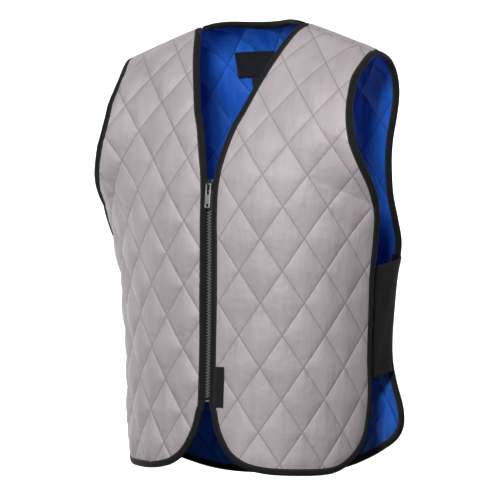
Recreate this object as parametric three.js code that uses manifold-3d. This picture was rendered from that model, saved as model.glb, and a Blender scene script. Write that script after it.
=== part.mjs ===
// Cooling vest: quilted front and back panels with a quilted lining, bound edges, stretch side
// panels and a front zip. Millimetres, +Z up, the front faces -Y and the wearer's left is +X.
// Each cloth piece is cut from a flat pattern (across, down) and then laid over the torso form.

import * as THREE from 'three';
import { mergeVertices } from 'three/addons/utils/BufferGeometryUtils.js';
import Module from 'manifold-3d';

const wasm = await Module();
wasm.setup();

// Sizes of the garment
const NECK_HALF = 82;
const SHOULDER_HALF = 199;
const SHOULDER_SLOPE = 22;
const RIDGE_ROUNDING = 45;
const RIDGE_BEND_AT = 50;
const NECK_HEIGHT = 26.5;
const SEAM_SETBACK = 2;
const SEAM_DRIFT = 0.06;
const FORM_LENGTH = 700;
const PANEL_REACH = 250;
const BACK_REACH = 210;
const FRONT_LENGTH = 662;
const BACK_LENGTH = 694;
const BACK_TILT = 12;
const V_DEPTH = 280;
const FRONT_ARMHOLE = 368;
const BACK_ARMHOLE = 376;
const NECKLINE_DIP = 34;
const FRONT_GAP = 8;

// Cloth, padding and clearances
const CLOTH_GAP = 0.3;
const SHELL_WALL = 1.4;
const LINING_WALL = 1.2;
const PUFF = 2.2;
const LINING_PUFF = 1.6;
const PUFF_RUN = 14;
const QUILT_WIDTH = 61;
const QUILT_HEIGHT = 87.4;
const SEAM_GAP = 1.2;
const EDGE_SAG = 0.7;
const EDGE_STEP = 4;
const LONGEST_EDGE = 70;

// Binding folded over the edges
const BINDING_WIDTH = 9.5;
const BINDING_WALL = 1;
const BINDING_EASE = 0.8;
const LINING_EASE = 1.7;
const SHELL_EASE = 1.3;
const SEAT_GAP = 0.6;
const BINDING_SWELL = 0.9;

// Stretch side panels
const SIDE_TOP = 372;
const SIDE_HEIGHT = 158;
const SIDE_TUCK = 11;
const SIDE_WALL = 1.2;
const SIDE_ROWS = 5;
const SIDE_COLUMNS = 8;
const SIDE_FULLNESS = 0.38;

// Zip
const ZIP_ABOVE_V = 21;
const ZIP_ABOVE_HEM = 98;
const TAPE_WIDTH = 14;
const TAPE_WALL = 1;
const CORD_WIDTH = 2.4;
const CHAIN_LEVEL = -0.6;
const CHAIN_WIDTH = 6.3;
const CHAIN_THICK = 3.2;
const CHAIN_VALLEY = 0.9;
const TOOTH_PITCH = 4.2;
const SLIDER_LENGTH = 15;
const SLIDER_WIDTH = 7.3;
const SLIDER_PLATE = 1.2;
const BRIDGE_WIDTH = 2.6;
const BRIDGE_WALL = 1.4;
const BRIDGE_LENGTH = 9;
const PULL_WIDTH = 7.8;
const PULL_LENGTH = 34;
const PULL_WALL = 1.6;
const PULL_RIM = 1.9;
const PULL_SLOT = 14;
const PULL_HOLE = 3.6;
const PULL_CORNER = 2.3;
const MOVING_GAP = 0.35;

// Labels
const LABEL_WALL = 1;
const NECK_LABEL_WIDTH = 62;
const NECK_LABEL_HEIGHT = 40;
const NECK_LABEL_DOWN = 75;
const LABELS_ACROSS = -35;
const SIZE_TAB_WIDTH = 19;
const SIZE_TAB_HEIGHT = 14;
const FLAG_WIDTH = 13;
const FLAG_HEIGHT = 55;
const FLAG_ABOVE_HEM = 92;
const FLAG_LIFT = 1.2;

// Colours from the photograph
const PAINTS = {
  shell: { color: 0xb8aeb2, roughness: 0.55, metalness: 0 },
  lining: { color: 0x1f5fd0, roughness: 0.6, metalness: 0 },
  binding: { color: 0x191a1a, roughness: 0.85, metalness: 0 },
  stretch: { color: 0x202020, roughness: 0.9, metalness: 0 },
  tape: { color: 0x141415, roughness: 0.85, metalness: 0 },
  teeth: { color: 0x2a2b2e, roughness: 0.35, metalness: 0 },
  slider: { color: 0x1c1c1e, roughness: 0.4, metalness: 0.6 },
  pull: { color: 0xb9bbbf, roughness: 0.3, metalness: 1 },
  label: { color: 0x17171a, roughness: 0.8, metalness: 0 },
};

// How the torso form falls from the shoulder ridge: down is a share of FORM_LENGTH, lean is the
// slope from upright and turn is how far the cloth has turned at PANEL_REACH, both in degrees.
const FRONT_RIBS = [
  { down: 0, lean: 78, turn: 0 },
  { down: 0.017, lean: 56, turn: -1 },
  { down: 0.037, lean: 43, turn: -3 },
  { down: 0.093, lean: 37, turn: -8 },
  { down: 0.143, lean: 32, turn: -7 },
  { down: 0.186, lean: 30, turn: 0 },
  { down: 0.229, lean: 28, turn: 9 },
  { down: 0.279, lean: 23, turn: 27 },
  { down: 0.336, lean: 16, turn: 49 },
  { down: 0.4, lean: 7, turn: 61 },
  { down: 0.486, lean: 0, turn: 69 },
  { down: 0.643, lean: 1, turn: 76 },
  { down: 0.8, lean: 3, turn: 79 },
  { down: 1, lean: 5, turn: 86 },
];
const BACK_RIBS = [
  { down: 0, lean: 88, turn: 0 },
  { down: 0.043, lean: 74, turn: 0 },
  { down: 0.086, lean: 50, turn: 2 },
  { down: 0.121, lean: 28, turn: 4 },
  { down: 0.157, lean: 16, turn: 8 },
  { down: 0.214, lean: 8, turn: 14 },
  { down: 0.286, lean: 3, turn: 24 },
  { down: 0.4, lean: -2, turn: 34 },
  { down: 0.514, lean: -5, turn: 40 },
  { down: 0.629, lean: -4, turn: 42 },
  { down: 0.8, lean: 2, turn: 40 },
  { down: 1, lean: 5, turn: 38 },
];

// Where the form bends sharply, in shares of FORM_LENGTH, the cloth is cut into smaller cells.
const FRONT_BENDS = [{ from: 0.24, to: 0.42 }];
const BACK_BENDS = [{ from: -0.2, to: 0.2 }];
const FRONT_FACE = { ribs: FRONT_RIBS, bend: 1.14, facing: -1, bends: FRONT_BENDS };
const BACK_FACE = { ribs: BACK_RIBS, bend: 1.8, facing: 1, bends: BACK_BENDS };

// Edge of the neck opening: across is a share of NECK_HALF, down a share of V_DEPTH.
const V_EDGE = [
  { across: 0.87, down: 0.09 },
  { across: 0.745, down: 0.214 },
  { across: 0.56, down: 0.393 },
  { across: 0.39, down: 0.564 },
  { across: 0.268, down: 0.657 },
  { across: 0.158, down: 0.779 },
  { across: 0.079, down: 0.893 },
];

// Lower edge of a front panel: across is a share of PANEL_REACH, up a share of FRONT_LENGTH.
const FRONT_HEM = [
  { across: 0.028, up: 0.128 },
  { across: 0.048, up: 0.095 },
  { across: 0.084, up: 0.065 },
  { across: 0.132, up: 0.039 },
  { across: 0.196, up: 0.021 },
  { across: 0.264, up: 0.0106 },
  { across: 0.38, up: 0.003 },
  { across: 0.54, up: 0 },
  { across: 0.684, up: 0 },
  { across: 0.78, up: 0.006 },
  { across: 0.86, up: 0.022 },
  { across: 0.928, up: 0.045 },
  { across: 0.976, up: 0.072 },
  { across: 1.002, up: 0.11 },
];

// Side edge below the armhole: across is a share of the panel's reach, up a share of its drop.
const FRONT_SIDE = [
  { across: 1.012, up: 0.347 },
  { across: 1.004, up: 0.446 },
  { across: 0.992, up: 0.578 },
  { across: 0.988, up: 0.74 },
  { across: 0.986, up: 0.9 },
];
const BACK_SIDE = [
  { across: 0.97, up: 0.53 },
  { across: 0.963, up: 0.66 },
  { across: 0.98, up: 0.86 },
];

// Armhole edges from the underarm up: across runs from SHOULDER_HALF (0) to the reach (1),
// down is a share of the armhole's depth.
const FRONT_ARM_EDGE = [
  { across: 0.94, down: 1 },
  { across: 0.93, down: 0.913 },
  { across: 0.84, down: 0.82 },
  { across: 0.6, down: 0.728 },
  { across: 0.24, down: 0.62 },
  { across: 0.02, down: 0.533 },
  { across: -0.1, down: 0.446 },
  { across: -0.14, down: 0.364 },
  { across: -0.18, down: 0.274 },
  { across: -0.1, down: 0.19 },
];
const BACK_ARM_EDGE = [
  { across: 1, down: 1 },
  { across: 1, down: 0.936 },
  { across: 0.2, down: 0.864 },
  { across: -1, down: 0.763 },
  { across: -1.45, down: 0.652 },
  { across: -1.36, down: 0.558 },
  { across: -0.72, down: 0.463 },
  { across: -0.27, down: 0.388 },
  { across: -0.1, down: 0.3 },
  { across: 0, down: 0.22 },
];

// Lower edge of the back from one rounded corner to the centre: across is a share of
// BACK_REACH, up a share of BACK_LENGTH.
const BACK_HEM = [
  { across: 0.29, up: 0.002 },
  { across: 0.52, up: 0.013 },
  { across: 0.72, up: 0.034 },
  { across: 0.88, up: 0.056 },
  { across: 1.01, up: 0.078 },
  { across: 1.085, up: 0.103 },
  { across: 1.1, up: 0.13 },
  { across: 1.08, up: 0.156 },
  { across: 1.02, up: 0.195 },
];

// Back neckline: across is a share of NECK_HALF, down a share of NECKLINE_DIP.
const BACK_NECK = [
  { across: 0.83, down: -0.12 },
  { across: 0.6, down: 0.1 },
  { across: 0.33, down: 0.45 },
  { across: 0, down: 0.6 },
];

// Where the stitch lines of each panel cross, in pattern millimetres
const LEFT_QUILT = { across: 107, down: 122 };
const RIGHT_QUILT = { across: 100, down: 142 };
const BACK_QUILT = { across: -19.5, down: 96 };

// The torso form

function ribValue(ribs, q, column) {
  const share = THREE.MathUtils.clamp(q / FORM_LENGTH, 0, 1);
  let i = 1;
  while (i < ribs.length - 1 && ribs[i].down < share) i += 1;
  const above = ribs[i - 1];
  const below = ribs[i];
  const part = (share - above.down) / (below.down - above.down);
  return THREE.MathUtils.lerp(above[column], below[column], THREE.MathUtils.clamp(part, 0, 1));
}

const RUN_STEP = 2;
const RUN_LENGTH = 1.2 * FORM_LENGTH;

function traceRun(ribs) {
  const run = [{ out: 0, down: 0 }];
  for (let q = 0; q < RUN_LENGTH; q += RUN_STEP) {
    const lean = THREE.MathUtils.degToRad(ribValue(ribs, q + RUN_STEP / 2, 'lean'));
    const last = run[run.length - 1];
    run.push({
      out: last.out + Math.sin(lean) * RUN_STEP,
      down: last.down + Math.cos(lean) * RUN_STEP,
    });
  }
  return run;
}

FRONT_FACE.run = traceRun(FRONT_RIBS);
BACK_FACE.run = traceRun(BACK_RIBS);

function fallFrom(face, q) {
  const at = Math.max(q / RUN_STEP, 0);
  const i = Math.min(Math.floor(at), face.run.length - 2);
  const a = face.run[i];
  const b = face.run[i + 1];
  const out = THREE.MathUtils.lerp(a.out, b.out, at - i);
  const down = THREE.MathUtils.lerp(a.down, b.down, at - i);
  const above = Math.min(q, 0);
  const lean = THREE.MathUtils.degToRad(face.ribs[0].lean);
  return { out: out + above * Math.sin(lean), down: down + above * Math.cos(lean) };
}

const ARC_STEPS = 24;

function wrapAround(s, turn, bend) {
  let x = 0;
  let back = 0;
  for (let i = 0; i < ARC_STEPS; i += 1) {
    const at = (Math.abs(s) * (i + 0.5)) / ARC_STEPS / PANEL_REACH;
    const angle = THREE.MathUtils.degToRad(turn) * at ** bend;
    x += (Math.cos(angle) * s) / ARC_STEPS;
    back += (Math.sin(angle) * Math.abs(s)) / ARC_STEPS;
  }
  return { x, back };
}

function ridgeDrop(s) {
  const slope = Math.tan(THREE.MathUtils.degToRad(SHOULDER_SLOPE)) / 2;
  const soft = (d) => slope * (d + Math.hypot(d, RIDGE_ROUNDING));
  return soft(Math.abs(s) - RIDGE_BEND_AT) - soft(NECK_HALF - RIDGE_BEND_AT);
}

function formPoint(face, s, t) {
  const ridge = ridgeDrop(s);
  const q = t - ridge;
  const fall = fallFrom(face, q);
  const wrap = wrapAround(s, ribValue(face.ribs, q, 'turn'), face.bend);
  const seam = -SEAM_SETBACK - SEAM_DRIFT * (Math.abs(s) - NECK_HALF);
  const y = seam + face.facing * (fall.out - wrap.back);
  return new THREE.Vector3(wrap.x, y, NECK_HEIGHT - ridge - fall.down);
}

function formNormal(face, s, t) {
  const alongS = formPoint(face, s + 1, t).sub(formPoint(face, s - 1, t));
  const alongT = formPoint(face, s, t + 1).sub(formPoint(face, s, t - 1));
  return alongS.cross(alongT).multiplyScalar(face.facing).normalize();
}

function lay(face, s, t, n) {
  return formPoint(face, s, t).addScaledVector(formNormal(face, s, t), n);
}

// Pattern outlines, each a run of points [s, t] in pattern millimetres

function spline(points) {
  const curve = new THREE.SplineCurve(points.map(([s, t]) => new THREE.Vector2(s, t)));
  const count = Math.ceil(curve.getLength() / EDGE_STEP);
  return curve.getSpacedPoints(count).map((p) => [p.x, p.y]);
}

// Keeps the fewest points whose straight runs stay within EDGE_SAG of the laid edge.
function keepBends(face, points) {
  const laid = points.map(([s, t]) => formPoint(face, s, t));
  const kept = [0];
  let from = 0;
  while (from < points.length - 1) {
    let to = from + 1;
    while (to < points.length - 1 && runIsStraight(laid, from, to + 1)) to += 1;
    kept.push(to);
    from = to;
  }
  return kept.map((i) => points[i]);
}

function runIsStraight(laid, from, to) {
  const chord = new THREE.Line3(laid[from], laid[to]);
  if (chord.distance() > LONGEST_EDGE) return false;
  const nearest = new THREE.Vector3();
  for (let i = from + 1; i < to; i += 1) {
    chord.closestPointToPoint(laid[i], true, nearest);
    if (nearest.distanceTo(laid[i]) > EDGE_SAG) return false;
  }
  return true;
}

const seamDown = (s) => ridgeDrop(s) + SEAM_GAP / 2;
const neckPoint = [NECK_HALF, seamDown(NECK_HALF)];
const shoulderTip = [SHOULDER_HALF, seamDown(SHOULDER_HALF)];
const mirrored = (points) => points.map(([s, t]) => [-s, t]).reverse();

function armPoints(rows, reach, depth) {
  const at = (share) => THREE.MathUtils.lerp(SHOULDER_HALF, reach, share);
  return rows.map((row) => [at(row.across), depth * row.down]);
}

function sidePoints(rows, reach, armhole, length) {
  const drop = length - armhole;
  return rows.map((row) => [reach * row.across, length - drop * row.up]);
}

const frontEdge = keepBends(FRONT_FACE, [
  ...spline([
    neckPoint,
    ...V_EDGE.map((row) => [NECK_HALF * row.across, V_DEPTH * row.down]),
    [FRONT_GAP / 2, V_DEPTH],
  ]),
  ...spline([
    [FRONT_GAP / 2, V_DEPTH + EDGE_STEP],
    [FRONT_GAP / 2, (V_DEPTH + FRONT_LENGTH) / 2],
    [FRONT_GAP / 2, FRONT_LENGTH - ZIP_ABOVE_HEM],
    ...FRONT_HEM.map((row) => [PANEL_REACH * row.across, FRONT_LENGTH * (1 - row.up)]),
    ...sidePoints(FRONT_SIDE, PANEL_REACH, FRONT_ARMHOLE, FRONT_LENGTH),
    ...armPoints(FRONT_ARM_EDGE, PANEL_REACH, FRONT_ARMHOLE),
    shoulderTip,
  ]),
]);

// The back hangs a little lower on the wearer's right.
function tilted([s, t]) {
  const below = (t - BACK_ARMHOLE) / (BACK_LENGTH - BACK_ARMHOLE);
  return [s, t - (BACK_TILT * THREE.MathUtils.clamp(below, 0, 1) * s) / BACK_REACH];
}

const backHalf = [
  ...BACK_HEM.map((row) => [BACK_REACH * row.across, BACK_LENGTH * (1 - row.up)]),
  ...sidePoints(BACK_SIDE, BACK_REACH, BACK_ARMHOLE, BACK_LENGTH),
  ...armPoints(BACK_ARM_EDGE, BACK_REACH, BACK_ARMHOLE),
  shoulderTip,
];
const backEdge = keepBends(BACK_FACE, spline([
  ...mirrored(backHalf),
  [0, BACK_LENGTH],
  ...backHalf,
].map(tilted)));

const neckHalf = BACK_NECK.slice(0, -1).map((row) => [NECK_HALF * row.across, NECKLINE_DIP * row.down]);
const backNeckEdge = keepBends(BACK_FACE, spline([
  neckPoint,
  ...neckHalf,
  [0, NECKLINE_DIP * BACK_NECK[BACK_NECK.length - 1].down],
  ...mirrored([neckPoint, ...neckHalf]),
]));

// The way into the cloth at each point of an edge, square to it. The two ends lie on the
// shoulder seam, so there it runs along the seam.
function inwardAlong(edge, towards) {
  return edge.map(([s, t], i) => {
    const isEnd = i === 0 || i === edge.length - 1;
    const before = edge[Math.max(i - 1, 0)];
    const after = edge[Math.min(i + 1, edge.length - 1)];
    const along = new THREE.Vector2(after[0] - before[0], after[1] - before[1]).normalize();
    const across = new THREE.Vector2(-along.y, along.x).multiplyScalar(towards);
    if (!isEnd) return across;
    const seam = new THREE.Vector2(1, seamDown(Math.abs(s) + 1) - seamDown(Math.abs(s)));
    seam.x *= Math.sign(s) || 1;
    seam.normalize();
    return seam.dot(across) < 0 ? seam.negate() : seam;
  });
}

function insetBy(edge, inward, amount) {
  return edge.map(([s, t], i) => [s + inward[i].x * amount, t + inward[i].y * amount]);
}

// Solids

const MERGE = 1e-4;
const OVERCUT = 1;

function geometryOf(positions, indices) {
  const geometry = new THREE.BufferGeometry();
  geometry.setAttribute('position', new THREE.Float32BufferAttribute(positions, 3));
  geometry.setIndex(indices);
  return geometry;
}

function solidOf(geometry) {
  const bare = geometry.clone();
  bare.deleteAttribute('normal');
  bare.deleteAttribute('uv');
  const merged = mergeVertices(bare, MERGE);
  const triVerts = new Uint32Array(merged.index.array);
  return new wasm.Manifold(new wasm.Mesh({
    numProp: 3,
    vertProperties: new Float32Array(merged.attributes.position.array),
    triVerts,
    faceID: Uint32Array.from({ length: triVerts.length / 3 }, (_, i) => i),
  }));
}

function geometryFrom(solid) {
  const mesh = solid.getMesh();
  const positions = [];
  for (let i = 0; i < mesh.numVert; i += 1) {
    const at = i * mesh.numProp;
    positions.push(...mesh.vertProperties.slice(at, at + 3));
  }
  return geometryOf(positions, Array.from(mesh.triVerts));
}

// Whole quilt cells that cover some values, and the lines between them
function cellsOver(values, step, origin) {
  const first = Math.floor((Math.min(...values) - 1 - origin) / step);
  const last = Math.ceil((Math.max(...values) + 1 - origin) / step);
  return { start: origin + first * step, step, count: last - first };
}

function linesOf(cells) {
  return Array.from({ length: cells.count + 1 }, (_, i) => cells.start + i * cells.step);
}

// The quilt's cells as a flat sheet at height n, each cell split along its stitch line. Cells
// where the form bends sharply get a point in each side and a fan round their middle instead.
function quiltSheet(columns, rows, quilt, face, n) {
  const found = new Map();
  const positions = [];
  const indices = [];
  const index = (s, t) => {
    const key = `${Math.round(s / MERGE)} ${Math.round(t / MERGE)}`;
    if (!found.has(key)) {
      found.set(key, found.size);
      positions.push(s, t, n);
    }
    return found.get(key);
  };
  const isFine = (t) => face.bends.some(({ from, to }) => (
    t > from * FORM_LENGTH && t < to * FORM_LENGTH
  ));
  for (let j = 0; j < rows.length - 1; j += 1) {
    for (let i = 0; i < columns.length - 1; i += 1) {
      const [s0, s1, t0, t1] = [columns[i], columns[i + 1], rows[j], rows[j + 1]];
      const middle = [(s0 + s1) / 2, (t0 + t1) / 2];
      const fine = isFine(t0);
      const fineAbove = fine || isFine(rows[j - 1]);
      const fineBelow = fine || isFine(t1);
      const ring = [[s0, t0]];
      if (fineAbove) ring.push([middle[0], t0]);
      ring.push([s1, t0]);
      if (fine) ring.push([s1, middle[1]]);
      ring.push([s1, t1]);
      if (fineBelow) ring.push([middle[0], t1]);
      ring.push([s0, t1]);
      if (fine) ring.push([s0, middle[1]]);
      const corners = ring.map((corner) => index(...corner));
      if (fineAbove || fineBelow) {
        const hub = index(...middle);
        corners.forEach((corner, k) => indices.push(hub, corner, corners[(k + 1) % corners.length]));
      } else {
        const split = risesAcross(quilt, ...middle) ? [0, 1, 2, 0, 2, 3] : [0, 1, 3, 1, 2, 3];
        split.forEach((k) => indices.push(corners[k]));
      }
    }
  }
  return { positions, indices };
}

// Whether the stitch line through a cell joins its first and third corners
function risesAcross(quilt, s, t) {
  const column = Math.floor((s - quilt.across) / (QUILT_WIDTH / 2));
  const row = Math.floor((t - quilt.down) / (QUILT_HEIGHT / 2));
  return (column + row) % 2 === 0;
}

// A closed body between two copies of a sheet, which share its triangles.
function thickened(sheet, nearAt, farAt) {
  const count = sheet.positions.length / 3;
  const positions = [];
  [nearAt, farAt].forEach((at) => {
    for (let i = 0; i < count; i += 1) {
      const [s, t] = [sheet.positions[3 * i], sheet.positions[3 * i + 1]];
      positions.push(...at(s, t));
    }
  });
  const indices = [];
  const borders = new Map();
  for (let i = 0; i < sheet.indices.length; i += 3) {
    const [a, b, c] = sheet.indices.slice(i, i + 3);
    indices.push(b, a, c, a + count, b + count, c + count);
    [[a, b], [b, c], [c, a]].forEach(([from, to]) => {
      if (!borders.delete(`${to} ${from}`)) borders.set(`${from} ${to}`, [from, to]);
    });
  }
  borders.forEach(([from, to]) => {
    indices.push(from, to, to + count, from, to + count, from + count);
  });
  return facedOut(geometryOf(positions, indices));
}

// The quilt's cells cut to an outline
function cutQuilt(outline, face, quilt) {
  const across = cellsOver(outline.map(([s]) => s), QUILT_WIDTH / 2, quilt.across);
  const down = cellsOver(outline.map(([, t]) => t), QUILT_HEIGHT / 2, quilt.down);
  const sheet = quiltSheet(linesOf(across), linesOf(down), quilt, face, 1);
  const slab = thickened(sheet, (s, t) => [s, t, 0], (s, t) => [s, t, 1]);
  const shape = new THREE.Shape(outline.map(([s, t]) => new THREE.Vector2(s, t)));
  const prism = new THREE.ExtrudeGeometry(shape, { depth: 1 + 2 * OVERCUT, bevelEnabled: false });
  prism.translate(0, 0, -OVERCUT);
  const cut = geometryFrom(solidOf(slab).intersect(solidOf(prism)));
  const at = cut.attributes.position;
  const index = cut.index.array;
  const indices = [];
  for (let i = 0; i < index.length; i += 3) {
    const corners = [index[i], index[i + 1], index[i + 2]];
    if (corners.every((k) => at.getZ(k) > 0.5)) indices.push(...corners);
  }
  return { positions: Array.from(at.array), indices };
}

function distanceToEdge(outline, s, t) {
  const point = new THREE.Vector3(s, t, 0);
  const nearest = new THREE.Vector3();
  let least = Infinity;
  outline.forEach(([s0, t0], i) => {
    const [s1, t1] = outline[(i + 1) % outline.length];
    const side = new THREE.Line3(new THREE.Vector3(s0, t0, 0), new THREE.Vector3(s1, t1, 0));
    side.closestPointToPoint(point, true, nearest);
    least = Math.min(least, nearest.distanceTo(point));
  });
  return least;
}

function puffAt(quilt, s, t) {
  const a = (s - quilt.across) / QUILT_WIDTH;
  const b = (t - quilt.down) / QUILT_HEIGHT;
  return Math.abs(Math.sin(Math.PI * (a + b)) * Math.sin(Math.PI * (a - b)));
}

function turnedOut(geometry, kept = 1) {
  const index = geometry.index.array;
  const [p, q] = [0, 1, 2].filter((corner) => corner !== kept);
  for (let i = 0; i < index.length; i += 3) {
    [index[i + p], index[i + q]] = [index[i + q], index[i + p]];
  }
  return geometry;
}

// How far the padding stands up between the stitch lines; the binding holds the edges flat.
function puffOf(outline, quilt, s, t) {
  const room = distanceToEdge(outline, s, t);
  return puffAt(quilt, s, t) * THREE.MathUtils.smoothstep(room, 0, PUFF_RUN + BINDING_WIDTH);
}

function quiltedPiece(outline, face, quilt, near, wall, puff) {
  const side = Math.sign(near);
  return thickened(
    cutQuilt(outline, face, quilt),
    (s, t) => lay(face, s, t, near),
    (s, t) => lay(face, s, t, near + side * (wall + puff * puffOf(outline, quilt, s, t))),
  );
}

const shellPiece = (outline, face, quilt) => (
  quiltedPiece(outline, face, quilt, CLOTH_GAP / 2, SHELL_WALL, PUFF)
);
const liningPiece = (outline, face, quilt) => (
  quiltedPiece(outline, face, quilt, -CLOTH_GAP / 2, LINING_WALL, LINING_PUFF)
);

// Joins rings of points, each a closed profile, into one closed body.
function loft(rings) {
  const count = rings[0].length;
  const positions = rings.flat().flatMap((p) => [p.x, p.y, p.z]);
  const indices = [];
  for (let r = 0; r < rings.length - 1; r += 1) {
    for (let i = 0; i < count; i += 1) {
      const a = r * count + i;
      const b = r * count + ((i + 1) % count);
      indices.push(a, b, b + count, a, b + count, a + count);
    }
  }
  return { positions, indices, count, last: (rings.length - 1) * count };
}

function facedOut(geometry) {
  const at = geometry.attributes.position;
  const index = geometry.index.array;
  const [a, b, c] = [new THREE.Vector3(), new THREE.Vector3(), new THREE.Vector3()];
  let volume = 0;
  for (let i = 0; i < index.length; i += 3) {
    a.fromBufferAttribute(at, index[i]);
    b.fromBufferAttribute(at, index[i + 1]);
    c.fromBufferAttribute(at, index[i + 2]);
    volume += a.dot(b.cross(c));
  }
  return volume < 0 ? turnedOut(geometry) : geometry;
}

// A body swept from a flat profile of [across, n] corners along rings laid on the cloth.
function sweptBody(rings, profile) {
  const { positions, indices, last } = loft(rings);
  const corners = profile.map(([w, n]) => new THREE.Vector2(w, n));
  const clockwise = THREE.ShapeUtils.isClockWise(corners);
  THREE.ShapeUtils.triangulateShape(corners, []).forEach((corner) => {
    const [i, j, k] = clockwise ? corner.slice().reverse() : corner;
    indices.push(k, j, i);
    indices.push(last + i, last + j, last + k);
  });
  return facedOut(geometryOf(positions, indices));
}

const SHELL_EDGE = CLOTH_GAP / 2 + SHELL_WALL;
const LINING_EDGE = CLOTH_GAP / 2 + LINING_WALL;
const BINDING_FRONT = SHELL_EDGE + SHELL_EASE + BINDING_WALL;
const BINDING_BACK = LINING_EDGE + LINING_EASE + BINDING_WALL;

function bindingProfile() {
  const outer = SHELL_EDGE + SHELL_EASE;
  const inner = LINING_EDGE + LINING_EASE;
  return [
    [BINDING_WIDTH, outer + BINDING_SWELL],
    [BINDING_WIDTH, BINDING_FRONT + BINDING_SWELL],
    [0, BINDING_FRONT - BINDING_WALL / 2],
    [0, -BINDING_BACK + BINDING_WALL / 2],
    [BINDING_WIDTH, -BINDING_BACK],
    [BINDING_WIDTH, -inner],
    [BINDING_WALL, -inner],
    [BINDING_WALL, outer],
  ];
}

function bindingPiece(edge, face) {
  const inward = inwardAlong(edge, -1);
  const profile = bindingProfile();
  const rings = edge.map(([s, t], i) => profile.map(([w, n]) => (
    lay(face, s + inward[i].x * w, t + inward[i].y * w, n)
  )));
  return sweptBody(rings, profile);
}

// Panel outlines lie inside the fold of the binding
const FOLD = BINDING_WALL + BINDING_EASE;
const insideFold = (edge) => insetBy(edge, inwardAlong(edge, -1), FOLD);

const SEAM_STEPS = 6;

function alongSeam(from, to) {
  const points = [];
  for (let i = 1; i < SEAM_STEPS; i += 1) {
    const s = THREE.MathUtils.lerp(from, to, i / SEAM_STEPS);
    points.push([s, seamDown(s)]);
  }
  return points;
}

const frontRim = insideFold(frontEdge);
const frontOutline = [...frontRim, ...alongSeam(frontRim[frontRim.length - 1][0], frontRim[0][0])];
const backRim = insideFold(backEdge);
const neckRim = insideFold(backNeckEdge);
const backOutline = [
  ...backRim,
  ...alongSeam(backRim[backRim.length - 1][0], neckRim[0][0]),
  ...neckRim,
  ...alongSeam(neckRim[neckRim.length - 1][0], backRim[0][0]),
];

function acrossX(geometry) {
  return turnedOut(geometry.clone().scale(-1, 1, 1), 0);
}

// Where the side edge of a panel stands at a given height down the pattern
function edgeAt(edge, t) {
  const side = edge.filter(([s]) => s > SHOULDER_HALF / 2);
  for (let i = 0; i < side.length - 1; i += 1) {
    const [s0, t0] = side[i];
    const [s1, t1] = side[i + 1];
    if ((t0 - t) * (t1 - t) <= 0 && t0 !== t1 && t > SIDE_TOP / 2) {
      return s0 + ((s1 - s0) * (t - t0)) / (t1 - t0);
    }
  }
  return side[0][0];
}

// A stretch panel that spans from behind the front's side edge to behind the back's.
function sidePanelPiece() {
  const behind = -(BINDING_BACK + SEAT_GAP);
  const rings = [];
  for (let j = 0; j <= SIDE_ROWS; j += 1) {
    const t = SIDE_TOP + (SIDE_HEIGHT * j) / SIDE_ROWS;
    const tuck = (face, edge, inset) => lay(face, edgeAt(edge, t) - inset, t, behind);
    const ends = [
      tuck(FRONT_FACE, frontEdge, SIDE_TUCK),
      tuck(FRONT_FACE, frontEdge, 0),
      tuck(BACK_FACE, backEdge, 0),
      tuck(BACK_FACE, backEdge, SIDE_TUCK),
    ];
    rings.push(sideRing(ends));
  }
  const profile = rings[0].map((p) => [p.x, p.y]);
  return sweptBody(rings, profile);
}

function sideRing([frontTuck, front, back, backTuck]) {
  const pull = front.distanceTo(back) * SIDE_FULLNESS;
  const leave = front.clone().sub(frontTuck).setLength(pull).add(front);
  const arrive = back.clone().sub(backTuck).setLength(pull).add(back);
  const bow = new THREE.CubicBezierCurve3(front, leave, arrive, back);
  const middle = [frontTuck, ...bow.getPoints(SIDE_COLUMNS), backTuck];
  const inner = middle.map((p, i) => {
    const along = middle[Math.min(i + 1, middle.length - 1)].clone();
    along.sub(middle[Math.max(i - 1, 0)]).setZ(0).normalize();
    return new THREE.Vector3(p.x - along.y * SIDE_WALL, p.y + along.x * SIDE_WALL, p.z);
  });
  return [...middle, ...inner.reverse()];
}

// The zip runs between the front edges. Each tape lies behind the binding and its cord carries
// the teeth, which stand in the gap.
const ZIP_TOP = V_DEPTH - ZIP_ABOVE_V;
const ZIP_BOTTOM = FRONT_LENGTH - ZIP_ABOVE_HEM;
const TAPE_FACE = -(BINDING_BACK + SEAT_GAP);
const CHAIN_MIDDLE = CHAIN_LEVEL;
const CORD_FACE = CHAIN_MIDDLE - CHAIN_THICK / 2 - CLOTH_GAP;
const ZIP_STEPS = 12;

function tapePiece() {
  const to = FRONT_GAP / 2 - CLOTH_GAP;
  const from = to - CORD_WIDTH;
  const profile = [
    [from, CORD_FACE],
    [to, CORD_FACE],
    [to, TAPE_FACE],
    [to + TAPE_WIDTH, TAPE_FACE],
    [to + TAPE_WIDTH, TAPE_FACE - TAPE_WALL],
    [from, TAPE_FACE - TAPE_WALL],
  ];
  const rings = [];
  const start = ZIP_TOP + SLIDER_LENGTH + 2 * MOVING_GAP;
  for (let j = 0; j <= ZIP_STEPS; j += 1) {
    const t = THREE.MathUtils.lerp(start, ZIP_BOTTOM, j / ZIP_STEPS);
    rings.push(profile.map(([s, n]) => lay(FRONT_FACE, s, t, n)));
  }
  return sweptBody(rings, profile);
}

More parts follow.
